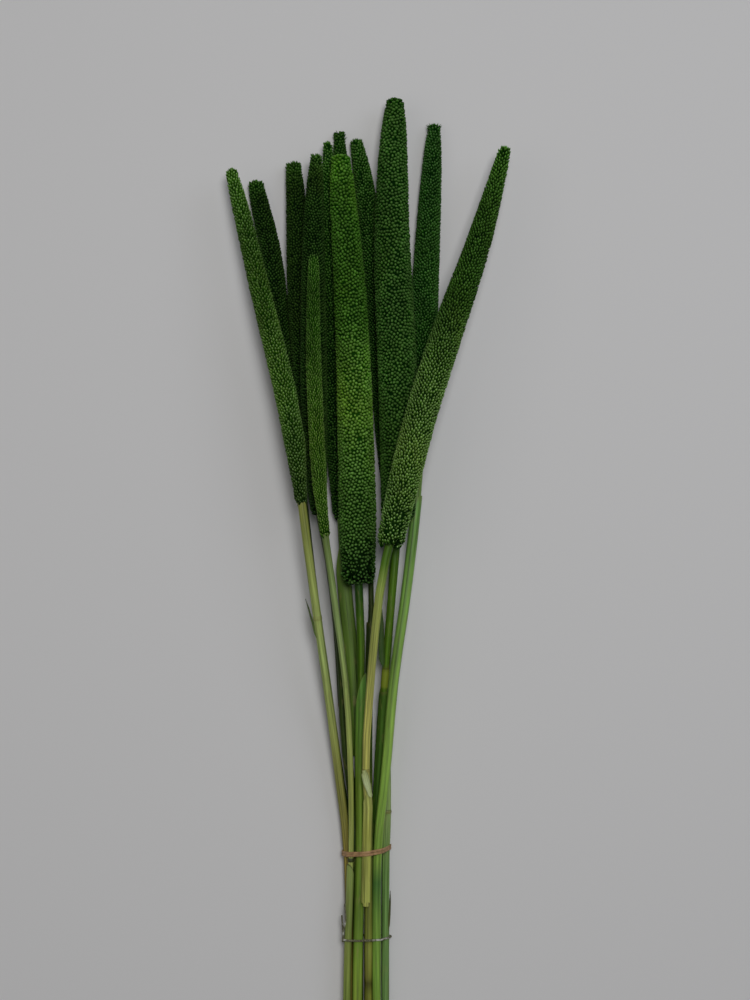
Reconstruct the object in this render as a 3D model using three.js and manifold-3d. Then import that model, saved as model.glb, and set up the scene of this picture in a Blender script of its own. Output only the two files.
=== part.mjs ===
// Tied bunch of twelve dried pearl millet stalks, cut and lying on a flat surface.
// Millimetres. +Y runs from the cut ends to the spike tips, +X to the right, +Z up.
import * as THREE from "three";
import Module from "manifold-3d";

const wasm = await Module();
wasm.setup();
const { Manifold, Mesh } = wasm;

// Sizes shared by every stalk
const AIR_GAP = 0.35;
const FIT_GAP = 0.35;
const SOCKET_DEPTH = 12;
const SPIKE_SIDES = 12;
const SPIKE_RINGS = 11;
const TIP_FLAT = 0.72;
const STEM_SIDES = 6;
const RING_SPACING = 24;

// The two ties
const BAND_Y = -1.5;
const BAND_WIDTH = 3.4;
const BAND_THICKNESS = 0.7;
const BAND_SLANT = 0.1;
const BAND_REACH = 15;
const TWINE_Y = -60;
const TWINE_RADIUS = 0.8;
const TIE_GAP = 0.4;
const TIE_LIFT = 2 * TWINE_RADIUS + TIE_GAP + 0.2;
const RIM_POINTS = 14;

// How the stalks lie on the surface and on one another
const STATION_STEP = 12;
const STATION_START = -150;
const STATION_COUNT = 56;
const HANGING_SAG = 0.03;
const END_DROOP = 1.4;
const STIFFNESS = 0.12;
const LAYER_CHANGE_Y = 140;
const PRESSED_TO_Y = 40;

// One entry a stalk, numbered from the left of the picture.
// plan: [y, x] from the cut end to the spike tip, y = 0 just above the rubber band
// spikeFoot: y where the spike starts; spike: largest radius; belly: where that is, as a share from the tip
// tip: how bluntly it narrows upwards; foot: share of the radius left at the foot
// stem: radius at the cut end and under the spike; layer: order in the pile at the ties and at the spikes
// sheath: its lower and upper end as y, its radius at both, and how much wider than high it is
const STALKS = [
  {
    number: 1, spikeFoot: 231, spike: 7.7, belly: 0.6, tip: 0.17, foot: 0.51,
    stem: [2.6, 2.8], layer: { tie: 1, spike: 2.1 },
    plan: [[-142, -11.7], [-62, -11.5], [0, -12.7], [45, -17.8], [100, -24.4], [181, -35.4], [231, -41.9],
      [266, -45.7], [299, -51.7], [369, -69], [414, -79.9], [453, -89.9]],
  },
  {
    number: 2, spikeFoot: 244, spike: 7.9, belly: 0.3, tip: 0.13, foot: 0.7,
    stem: [2.4, 2.4], layer: { tie: 0, spike: 0 },
    plan: [[-146, -10.1], [-62, -9.9], [0, -9.9], [45, -17], [102, -25], [179, -35.7], [244, -43.2],
      [300, -52.4], [367, -60], [399, -64], [435, -72.2], [448, -75]],
  },
  {
    number: 3, spikeFoot: 228, spike: 8.2, belly: 0.4, tip: 0.13, foot: 0.7,
    stem: [2.5, 2.5], layer: { tie: 0.1, spike: 1 },
    plan: [[-138, -4.5], [-62, -4.4], [0, -4.4], [52, -11], [99, -16.5], [139, -18.8], [203, -26.7],
      [228, -32], [300, -39], [363, -44.5], [440, -47.4], [460, -49.3]],
  },
  {
    number: 4, spikeFoot: 224, spike: 9.2, belly: 0.5, tip: 0.24, foot: 0.6,
    stem: [2.3, 2.3], layer: { tie: 1.1, spike: 2 },
    plan: [[-148, -5.9], [-62, -5.9], [0, -7], [24, -8.8], [47, -11.6], [66, -14], [85, -15.5], [104, -16.1],
      [125, -16.9], [150, -19.2], [193, -24.5], [224, -30.9], [266, -33.5], [332, -34.5], [412, -34.6], [463, -32.9]],
  },
  {
    number: 5, spikeFoot: 221, spike: 7.4, belly: 0.4, tip: 0.25, foot: 0.7,
    stem: [2.2, 2.2], layer: { tie: 0.2, spike: 0.3 },
    sheath: { from: 62, to: 216, radius: [3.1, 3.1], flatten: 1.55 },
    plan: [[-141, 0.8], [-62, 0.8], [0, 0.8], [58, -4], [98, -7.8], [139, -10.8], [177, -14.6],
      [221, -17.2], [240, -18.4], [300, -22.2], [400, -24.2], [473, -25.6]],
  },
  {
    number: 6, spikeFoot: 230, spike: 7.4, belly: 0.4, tip: 0.2, foot: 0.7,
    stem: [1.8, 1.8], layer: { tie: 1.2, spike: 0.2 },
    sheath: { from: -144, to: 151, radius: [2.9, 2.5], flatten: 1 },
    plan: [[-147, 1.5], [-62, 1.6], [0, 1.6], [72, 1.4], [149, 2.7], [176, 3.8], [199, 1.2],
      [230, -4.8], [300, -9.1], [367, -11.5], [434, -16.2], [481.5, -18.2]],
  },
  {
    number: 7, spikeFoot: 178, spike: 13.2, belly: 0.92, tip: 0.17, foot: 0.87,
    stem: [1.9, 2.8], layer: { tie: 2.1, spike: 1.2 },
    sheath: { from: -140, to: 118, radius: [3.1, 3.4], flatten: 1 },
    plan: [[-143, -6.4], [-62, -5.4], [0, -3.7], [60, -4.2], [134, -3.2], [178, -4.9], [233, -5.9],
      [299, -7.5], [372, -10.6], [433, -15.3], [461.5, -17]],
  },
  {
    number: 8, spikeFoot: 238, spike: 8.3, belly: 0.3, tip: 0.2, foot: 0.7,
    stem: [2.6, 2.6], layer: { tie: 0.25, spike: 0.1 },
    plan: [[-143, 12.9], [-62, 12.9], [0, 13.3], [24, 14.2], [65, 13.7], [106, 13.4], [139, 15], [186, 18],
      [225, 17], [267, 13.8], [334, 9.8], [411, 3], [446, -1.6], [475.5, -7.2]],
  },
  {
    number: 9, spikeFoot: 220, spike: 13.3, belly: 0.5, tip: 0.22, foot: 0.85,
    stem: [2.1, 2.8], layer: { tie: 0.3, spike: 1.1 },
    sheath: { from: -141, to: 108, radius: [2.8, 3.3], flatten: 1 },
    plan: [[-145, 6.7], [-62, 6.6], [0, 6.6], [38, 7.8], [125, 13.5], [150, 15.4], [181, 18], [220, 21.1],
      [266, 21.8], [332, 20.2], [402, 17.2], [443, 17.4], [500.5, 19.4]],
  },
  {
    number: 10, spikeFoot: 278, spike: 9.8, belly: 0.6, tip: 0.23, foot: 0.7,
    stem: [1.9, 2.7], layer: { tie: 1.3, spike: 0.5 },
    sheath: { from: -139, to: 236, radius: [2.7, 3.4], flatten: 1 },
    plan: [[-142, 7.2], [-62, 7.2], [0, 7.7], [24, 9.9], [47, 12.6], [115, 18.6], [171, 26.6], [246, 34.9],
      [300, 37.3], [364, 39.1], [446, 43.5], [486, 45.9]],
  },
  {
    number: 11, spikeFoot: 204, spike: 11, belly: 0.5, tip: 0.34, foot: 0.86,
    stem: [2.1, 2.9], layer: { tie: 2.2, spike: 3.1 },
    sheath: { from: -35, to: 46, radius: [3, 3], flatten: 1 },
    plan: [[-37, -0.2], [0, 0.5], [30, 1.4], [54, -0.1], [77, 0.4], [100, 2], [133, 4.6], [173, 9], [191, 12],
      [206, 16], [233, 22.3], [266, 29.4], [331, 49.3], [402, 74.1], [467, 92.7]],
  },
  {
    number: 12, spikeFoot: 211, spike: 5.5, belly: 0.5, tip: 0.15, foot: 0.54,
    stem: [1.35, 2.3], layer: { tie: 2, spike: 3 },
    sheath: { from: -141, to: -5, radius: [2.5, 2.5], flatten: 1 },
    plan: [[-144, -13.4], [-62, -12], [0, -10], [54, -10.3], [107, -12.9], [182, -22.6],
      [233, -29.3], [298, -33.1], [331, -34.2], [394, -34.1]],
  },
];

// Torn leaves: where on the stalk, and their run from the stalk's centre line as [x, y, z]
const TORN_LEAVES = [
  {
    number: 1, y: 148, thickness: 0.5, width: 1.3,
    points: [[-3.2, -6, 0.6], [-4.1, 2, 0.7], [-5.8, 10, 0.9], [-8.9, 20, 0.6]],
  },
  {
    number: 8, y: -50, thickness: 0.5, width: 1.3,
    points: [[2.8, -6, 1.8], [2.9, 4, 2], [3.1, 12, 2.1], [3.4, 21, 2.1]],
  },
  {
    number: 9, y: 122, thickness: 0.5, width: 3.8,
    points: [[-3.4, 0, 2.6], [-3.4, 8, 3], [-3.3, 18, 3.3], [-3, 28, 3.5], [-2.7, 39, 3.5]],
  },
  {
    number: 11, y: 46, thickness: 0.6, width: 4.2,
    points: [[-1.6, 9, 5.1], [-0.4, 3, 4.8], [1.2, -3, 4.2], [3, -9, 3.1]],
  },
];

// Finishes
const GRAIN_GREEN = new THREE.MeshStandardMaterial({ color: 0x4a6a22, roughness: 0.85, metalness: 0 });
const STEM_GREEN = new THREE.MeshStandardMaterial({ color: 0x8c9a3c, roughness: 0.6, metalness: 0 });
const LEAF_GREEN = new THREE.MeshStandardMaterial({ color: 0x6f9a46, roughness: 0.55, metalness: 0 });
const BAND_TAN = new THREE.MeshStandardMaterial({ color: 0xb08a6a, roughness: 0.6, metalness: 0 });
const TWINE_GREY = new THREE.MeshStandardMaterial({ color: 0x9a948a, roughness: 0.9, metalness: 0 });

const bunch = new THREE.Group();
bunch.name = "millet_bunch";

function addPiece(name, geometry, material) {
  const piece = new THREE.Mesh(geometry, material);
  piece.name = name;
  bunch.add(piece);
}

// Plan position and girth of a stalk at a given y
for (const stalk of STALKS) {
  const ys = stalk.plan.map((point) => point[0]);
  const xs = stalk.plan.map((point) => point[1]);
  const curve = new THREE.CubicInterpolant(ys, xs, 1);
  stalk.planX = (y) => curve.evaluate(y)[0];
  stalk.cutY = ys[0];
  stalk.tipY = ys[ys.length - 1];
  stalk.label = String(stalk.number).padStart(2, "0");
}

function spikeRadius(stalk, share) {
  if (share < stalk.belly) {
    return stalk.spike * (share / stalk.belly) ** stalk.tip;
  }
  const toFoot = (share - stalk.belly) / (1 - stalk.belly);
  return stalk.spike * (1 - (1 - stalk.foot) * toFoot ** 4);
}

function stemRadius(stalk, y) {
  const share = (y - stalk.cutY) / (stalk.spikeFoot - stalk.cutY);
  return THREE.MathUtils.lerp(stalk.stem[0], stalk.stem[1], THREE.MathUtils.clamp(share, 0, 1));
}

function sheathRadius(sheath, y) {
  const share = (y - sheath.from) / (sheath.to - sheath.from);
  return THREE.MathUtils.lerp(sheath.radius[0], sheath.radius[1], THREE.MathUtils.clamp(share, 0, 1));
}

function girth(stalk, y) {
  if (y > stalk.spikeFoot - STATION_STEP) {
    const share = (stalk.tipY - y) / (stalk.tipY - stalk.spikeFoot);
    return spikeRadius(stalk, THREE.MathUtils.clamp(share, 0.02, 1));
  }
  const sheath = stalk.sheath;
  if (sheath && y > sheath.from - STATION_STEP && y < sheath.to + STATION_STEP) {
    return sheathRadius(sheath, y);
  }
  return stemRadius(stalk, y);
}

// How much wider a stalk is when cut straight across the bunch, for its lean to one side
function slant(stalk, y) {
  const lean = (stalk.planX(y + 4) - stalk.planX(y - 4)) / 8;
  return Math.hypot(1, lean);
}

// Each stalk is laid like a springy rod: it rests on the surface or on the stalks under it, hangs between
// them, is pressed down at the ties and below, droops at its tip and never bends sharply
function stationY(k) {
  return STATION_START + k * STATION_STEP;
}

function layerAt(stalk, y) {
  return y < LAYER_CHANGE_Y ? stalk.layer.tie : stalk.layer.spike;
}

function supportHeight(stalk, k) {
  const y = stationY(k);
  const radius = girth(stalk, y);
  let height = radius + (y < LAYER_CHANGE_Y ? TIE_LIFT : 0);
  for (const other of STALKS) {
    const lower = layerAt(other, y) < layerAt(stalk, y);
    if (!lower || k < other.first || k > other.last) {
      continue;
    }
    const apart = other.planX(y) - stalk.planX(y);
    const reach = radius * slant(stalk, y) + girth(other, y) * slant(other, y) + AIR_GAP;
    if (Math.abs(apart) < reach) {
      height = Math.max(height, other.heights[k] + Math.sqrt(reach ** 2 - apart ** 2));
    }
  }
  return height;
}

function layDown(stalk) {
  const supports = [];
  for (let k = stalk.first; k <= stalk.last; k++) {
    supports[k] = supportHeight(stalk, k);
  }
  const rests = [];
  for (let k = stalk.first; k <= stalk.last; k++) {
    rests[k] = 0;
    for (let j = stalk.first; j <= stalk.last; j++) {
      rests[k] = Math.max(rests[k], supports[j] - STIFFNESS * (k - j) ** 2);
    }
  }
  const heights = rests.slice();
  for (let pass = 0; pass < 1500; pass++) {
    heights[stalk.last] = Math.max(rests[stalk.last], heights[stalk.last - 1] - END_DROOP);
    for (let k = stalk.last - 1; stationY(k) > PRESSED_TO_Y; k--) {
      const hanging = (heights[k - 1] + heights[k + 1]) / 2 - HANGING_SAG;
      heights[k] = Math.max(rests[k], hanging);
    }
  }
  for (let pass = 0; pass < 8; pass++) {
    const before = heights.slice();
    for (let k = stalk.first + 1; k < stalk.last; k++) {
      heights[k] = Math.max(rests[k], (before[k - 1] + 2 * before[k] + before[k + 1]) / 4);
    }
  }
  stalk.heights = heights;
}

for (const stalk of STALKS) {
  stalk.first = Math.floor((stalk.cutY - STATION_START) / STATION_STEP);
  stalk.last = Math.ceil((stalk.tipY - STATION_START) / STATION_STEP);
  stalk.heights = new Array(STATION_COUNT).fill(0);
}
for (let round = 0; round < 12; round++) {
  for (const stalk of STALKS) {
    layDown(stalk);
  }
}

// The centre line of each stalk, and a round piece bent along it
for (const stalk of STALKS) {
  const points = [];
  for (let k = stalk.first; k <= stalk.last; k++) {
    const y = stationY(k);
    points.push(new THREE.Vector3(stalk.planX(y), y, stalk.heights[k]));
  }
  stalk.line = new THREE.CatmullRomCurve3(points, false, "centripetal");
  stalk.line.arcLengthDivisions = 600;
  stalk.lineLength = stalk.line.getLength();
}

function distanceAt(stalk, y) {
  let low = 0;
  let high = 1;
  for (let pass = 0; pass < 40; pass++) {
    const middle = (low + high) / 2;
    if (stalk.line.getPointAt(middle).y < y) {
      low = middle;
    } else {
      high = middle;
    }
  }
  return low * stalk.lineLength;
}

function bendAlong(line, lineLength, geometry, start, flatten) {
  const position = geometry.attributes.position;
  for (let i = 0; i < position.count; i++) {
    const share = THREE.MathUtils.clamp((start + position.getY(i)) / lineLength, 0, 1);
    const centre = line.getPointAt(share);
    const along = line.getTangentAt(share);
    const side = new THREE.Vector3().crossVectors(along, new THREE.Vector3(0, 0, 1)).normalize();
    const up = new THREE.Vector3().crossVectors(side, along);
    centre.addScaledVector(side, position.getX(i) * flatten);
    centre.addScaledVector(up, position.getZ(i));
    position.setXYZ(i, centre.x, centre.y, centre.z);
  }
  geometry.computeVertexNormals();
  return geometry;
}

// Distances along a stalk where a piece gets a ring, the same ones for a stem and its sheath
function ringsBetween(start, end) {
  const rings = [start];
  for (let along = 0; along < end - RING_SPACING / 3; along += RING_SPACING) {
    if (along > start + RING_SPACING / 3) {
      rings.push(along);
    }
  }
  rings.push(end);
  return rings;
}

// Spike: a long grainy body with a blind socket for its stem
function makeSpike(stalk) {
  const start = distanceAt(stalk, stalk.spikeFoot);
  const length = distanceAt(stalk, stalk.tipY) - start;
  const socket = stalk.stem[1] + FIT_GAP + 0.15;
  const profile = [
    new THREE.Vector2(0, SOCKET_DEPTH),
    new THREE.Vector2(socket, SOCKET_DEPTH),
    new THREE.Vector2(socket, 0),
  ];
  for (let ring = 0; ring < SPIKE_RINGS; ring++) {
    const share = (1 - ring / SPIKE_RINGS) ** 1.9;
    profile.push(new THREE.Vector2(spikeRadius(stalk, share), length * (1 - share)));
  }
  const lastRing = profile[profile.length - 1].x;
  profile.push(new THREE.Vector2(TIP_FLAT * lastRing, length));
  profile.push(new THREE.Vector2(0, length));
  const body = new THREE.LatheGeometry(profile, SPIKE_SIDES);
  return bendAlong(stalk.line, stalk.lineLength, body, start, 1);
}

// Stem: a tapering rod from the cut end into the socket of its spike
function makeStem(stalk) {
  const start = distanceAt(stalk, stalk.cutY);
  const foot = distanceAt(stalk, stalk.spikeFoot);
  const length = foot + SOCKET_DEPTH - FIT_GAP - start;
  const profile = [new THREE.Vector2(0, 0)];
  for (const ring of ringsBetween(start, foot)) {
    const y = THREE.MathUtils.lerp(stalk.cutY, stalk.spikeFoot, (ring - start) / (foot - start));
    profile.push(new THREE.Vector2(stemRadius(stalk, y), ring - start));
  }
  profile.push(new THREE.Vector2(stalk.stem[1], length));
  profile.push(new THREE.Vector2(0, length));
  const body = new THREE.LatheGeometry(profile, STEM_SIDES);
  return bendAlong(stalk.line, stalk.lineLength, body, start, 1);
}

// Leaf sheath: a thin tube wrapped round part of a stem
function makeSheath(stalk) {
  const sheath = stalk.sheath;
  const start = distanceAt(stalk, sheath.from);
  const end = distanceAt(stalk, sheath.to);
  const rings = ringsBetween(start, end);
  const outside = [];
  const inside = [];
  for (const ring of rings) {
    const y = THREE.MathUtils.lerp(sheath.from, sheath.to, (ring - start) / (end - start));
    outside.push(new THREE.Vector2(sheathRadius(sheath, y), ring - start));
    inside.push(new THREE.Vector2(stemRadius(stalk, y) + FIT_GAP, ring - start));
  }
  inside.reverse();
  const profile = [...outside, ...inside, outside[0].clone()];
  const body = new THREE.LatheGeometry(profile, STEM_SIDES);
  return bendAlong(stalk.line, stalk.lineLength, body, start, sheath.flatten);
}

for (const stalk of STALKS) {
  addPiece(`spike_${stalk.label}`, makeSpike(stalk), GRAIN_GREEN);
  addPiece(`stem_${stalk.label}`, makeStem(stalk), STEM_GREEN);
  if (stalk.sheath) {
    addPiece(`leaf_sheath_${stalk.label}`, makeSheath(stalk), LEAF_GREEN);
  }
}

// Torn leaf: a thin pointed blade bent along points given from its stalk's centre line
function makeTornLeaf(stalk, y, points, thickness, width) {
  const centre = stalk.line.getPointAt(distanceAt(stalk, y) / stalk.lineLength);
  const line = new THREE.CatmullRomCurve3(
    points.map(([dx, dy, dz]) => new THREE.Vector3(centre.x + dx, centre.y + dy, centre.z + dz)));
  const length = line.getLength();
  const half = thickness / 2;
  const profile = [
    new THREE.Vector2(0, 0),
    new THREE.Vector2(half, 0.12 * length),
    new THREE.Vector2(half, 0.4 * length),
    new THREE.Vector2(0.7 * half, 0.75 * length),
    new THREE.Vector2(0, length),
  ];
  const blade = new THREE.LatheGeometry(profile, 6);
  return bendAlong(line, length, blade, 0, width / thickness);
}

for (const leaf of TORN_LEAVES) {
  const stalk = STALKS[leaf.number - 1];
  const blade = makeTornLeaf(stalk, leaf.y, leaf.points, leaf.thickness, leaf.width);
  addPiece(`torn_leaf_${stalk.label}`, blade, LEAF_GREEN);
}

// Outline of a tight loop of some width round every stem at a given y, as points [x, z]
function loopOutline(middleY, width, clearance) {
  const rim = [];
  for (const y of [middleY - width / 2, middleY + width / 2]) {
    for (const stalk of STALKS) {
      if (stalk.cutY < y) {
        rim.push(...stemRim(stalk, y, clearance));
      }
    }
  }
  rim.sort((a, b) => a.x - b.x || a.y - b.y);
  const lower = outerChain(rim);
  const upper = outerChain(rim.reverse());
  return [...lower.slice(0, -1), ...upper.slice(0, -1)];
}

function stemRim(stalk, y, clearance) {
  const centre = stalk.line.getPointAt(distanceAt(stalk, y) / stalk.lineLength);
  const reach = girth(stalk, y) + clearance;
  const rim = [];
  for (let turn = 0; turn < RIM_POINTS; turn++) {
    const angle = (turn / RIM_POINTS) * 2 * Math.PI;
    rim.push(new THREE.Vector2(centre.x + reach * Math.cos(angle), centre.z + reach * Math.sin(angle)));
  }
  return rim;
}

function outerChain(points) {
  const chain = [];
  for (const point of points) {
    while (chain.length > 1 && turnOf(chain[chain.length - 2], chain[chain.length - 1], point) <= 0) {
      chain.pop();
    }
    chain.push(point);
  }
  return chain;
}

function turnOf(a, b, c) {
  return (b.x - a.x) * (c.y - a.y) - (b.y - a.y) * (c.x - a.x);
}

// Rubber band: a flat loop, a little higher on the right
function makeBand() {
  const reach = BAND_WIDTH + 2 * BAND_SLANT * BAND_REACH;
  const outline = new THREE.Shape(loopOutline(BAND_Y, reach, TIE_GAP + BAND_THICKNESS));
  outline.holes.push(new THREE.Path(loopOutline(BAND_Y, reach, TIE_GAP)));
  const band = new THREE.ExtrudeGeometry(outline, { depth: BAND_WIDTH, bevelEnabled: false });
  band.translate(0, 0, -BAND_WIDTH / 2);
  band.rotateX(Math.PI / 2);
  const position = band.attributes.position;
  for (let i = 0; i < position.count; i++) {
    position.setY(i, position.getY(i) + BAND_Y + BAND_SLANT * position.getX(i));
  }
  return band;
}

// Boolean union of closed geometries
function toSolid(geometry) {
  const plain = geometry.index ? geometry.toNonIndexed() : geometry;
  const mesh = new Mesh({
    numProp: 3,
    vertProperties: Float32Array.from(plain.attributes.position.array),
    triVerts: Uint32Array.from({ length: plain.attributes.position.count }, (_, i) => i),
  });
  mesh.merge();
  return new Manifold(mesh);
}

function joined(geometries) {
  let whole = toSolid(geometries[0]);
  for (const geometry of geometries.slice(1)) {
    whole = whole.add(toSolid(geometry));
  }
  const mesh = whole.getMesh();
  const result = new THREE.BufferGeometry();
  result.setAttribute("position", new THREE.Float32BufferAttribute(mesh.vertProperties, 3));
  result.setIndex(new THREE.Uint32BufferAttribute(mesh.triVerts, 1));
  result.computeVertexNormals();
  return result;
}

// Twine: a closed turn round the stems with a knot and two short ends on the left
function makeTwine() {
  const outline = loopOutline(TWINE_Y, 2 * TWINE_RADIUS, TIE_GAP + TWINE_RADIUS);
  const turn = new THREE.CatmullRomCurve3(
    outline.map((point) => new THREE.Vector3(point.x, TWINE_Y, point.y)), true, "centripetal");
  const loop = new THREE.TubeGeometry(turn, 32, TWINE_RADIUS, 5, true);
  const left = outline.reduce((best, point) => (point.x < best.x ? point : best));
  const knot = new THREE.SphereGeometry(1.9 * TWINE_RADIUS, 8, 6);
  knot.translate(left.x - 0.6, TWINE_Y, left.y);
  const ends = [
    [[-0.6, 0, 0], [-0.4, 6, 2.5], [1.4, 14, 4.6], [0.6, 25, 5.4]],
    [[-0.6, 0, 0], [-0.9, 8, -1.5], [-1.5, 16, -1]],
  ];
  const tails = ends.map((end) => {
    const path = new THREE.CatmullRomCurve3(
      end.map(([x, y, z]) => new THREE.Vector3(left.x + x, TWINE_Y + y, left.y + z)));
    const section = new THREE.Shape();
    section.absarc(0, 0, TWINE_RADIUS * 0.8, 0, 2 * Math.PI);
    return new THREE.ExtrudeGeometry(section, { steps: 6, curveSegments: 3, extrudePath: path });
  });
  return joined([loop, knot, ...tails]);
}

addPiece("rubber_band", makeBand(), BAND_TAN);
addPiece("twine_tie", makeTwine(), TWINE_GREY);

// The origin is under the middle of the bunch, on the surface it lies on
const box = new THREE.Box3().setFromObject(bunch);
const middle = box.getCenter(new THREE.Vector3());
bunch.position.set(-middle.x, -middle.y, -box.min.z);

export default bunch;
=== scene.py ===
"""Looks of a tied bunch of pearl millet that lies on a pale floor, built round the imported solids."""

import logging
import math
from dataclasses import dataclass, fields
from enum import Enum

import bpy
import numpy as np
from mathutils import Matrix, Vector


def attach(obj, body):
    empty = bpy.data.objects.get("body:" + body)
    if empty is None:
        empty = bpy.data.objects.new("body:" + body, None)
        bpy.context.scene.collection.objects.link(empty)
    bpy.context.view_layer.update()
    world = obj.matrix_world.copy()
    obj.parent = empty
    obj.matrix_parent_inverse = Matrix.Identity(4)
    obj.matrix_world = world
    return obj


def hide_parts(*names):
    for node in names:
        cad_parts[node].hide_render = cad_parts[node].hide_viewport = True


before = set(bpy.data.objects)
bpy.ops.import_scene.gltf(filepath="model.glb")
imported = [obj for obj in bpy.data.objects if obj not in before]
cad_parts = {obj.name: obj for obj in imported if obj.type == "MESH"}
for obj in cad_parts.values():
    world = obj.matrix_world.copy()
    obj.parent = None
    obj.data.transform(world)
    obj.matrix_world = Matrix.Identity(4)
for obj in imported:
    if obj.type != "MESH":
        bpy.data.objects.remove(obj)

LOG = logging.getLogger("millet_bunch")
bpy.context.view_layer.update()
MM = 0.001
GOLDEN_ANGLE = math.pi * (3 - math.sqrt(5))
# Area that one seed takes in close rows, over the square of the seeds' spacing.
HEXAGON = 0.866
# Sockets of a mix node that takes colours.
MIX_FIRST, MIX_SECOND, MIX_RESULT = 6, 7, 2
BODY = "root"

Piece = bpy.types.Object
Material = bpy.types.Material
Socket = bpy.types.NodeSocket
Colour = tuple[float, float, float]
Stops = tuple[tuple[float, Colour], ...]
Shape = tuple[np.ndarray, list[list[int]]]


class Slot(Enum):
    """Material slots of the record."""

    GRAIN = "grain"
    STEM = "stem"
    LEAF = "leaf"
    BAND = "rubber_band"
    TWINE = "twine"


def rgba(colour: Colour) -> tuple[float, float, float, float]:
    """The colour with full opacity."""
    return (*colour, 1.0)


def unit(vectors: np.ndarray) -> np.ndarray:
    """Vectors scaled to length one."""
    return vectors / np.maximum(np.linalg.norm(vectors, axis=-1, keepdims=True), 1e-12)


def deselect_all() -> None:
    """Leaves edit mode with nothing selected."""
    if bpy.context.object is not None and bpy.context.object.mode != "OBJECT":
        bpy.ops.object.mode_set(mode="OBJECT")
    bpy.ops.object.select_all(action="DESELECT")


def activate(piece: Piece) -> None:
    """Makes the piece the only selected and the active object."""
    deselect_all()
    piece.select_set(True)
    bpy.context.view_layer.objects.active = piece


def join(pieces: list[Piece], name: str) -> Piece:
    """Joins meshes into the first of them.

    Args:
        pieces: The objects to join.
        name: The joined object's name.

    Returns:
        The joined object.
    """
    deselect_all()
    for piece in pieces:
        piece.select_set(True)
    bpy.context.view_layer.objects.active = pieces[0]
    if len(pieces) > 1:
        bpy.ops.object.join()
    pieces[0].name = name
    return pieces[0]


def finish_piece(piece: Piece, node: str, materials: list[Material]) -> Piece:
    """Dresses a piece and lets it stand for its CAD node.

    Args:
        piece: The modelled piece.
        node: The CAD node that it replaces.
        materials: Its materials, in the order of its faces' indices.

    Returns:
        The same piece.
    """
    piece.data.materials.clear()
    for material in materials:
        piece.data.materials.append(material)
    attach(piece, BODY)
    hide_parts(node)
    LOG.info("%s: %d faces, for %s", piece.name, len(piece.data.polygons), node)
    return piece


def node_triangles(name: str) -> np.ndarray:
    """The triangles of a CAD node.

    Args:
        name: The node's name.

    Returns:
        An array of triangles, corners and coordinates, in metres.
    """
    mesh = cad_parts[name].data
    mesh.calc_loop_triangles()
    corners = np.zeros(len(mesh.loop_triangles) * 3, np.int32)
    mesh.loop_triangles.foreach_get("vertices", corners)
    places = np.zeros(len(mesh.vertices) * 3)
    mesh.vertices.foreach_get("co", places)
    return places.reshape(-1, 3)[corners].reshape(-1, 3, 3)


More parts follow.
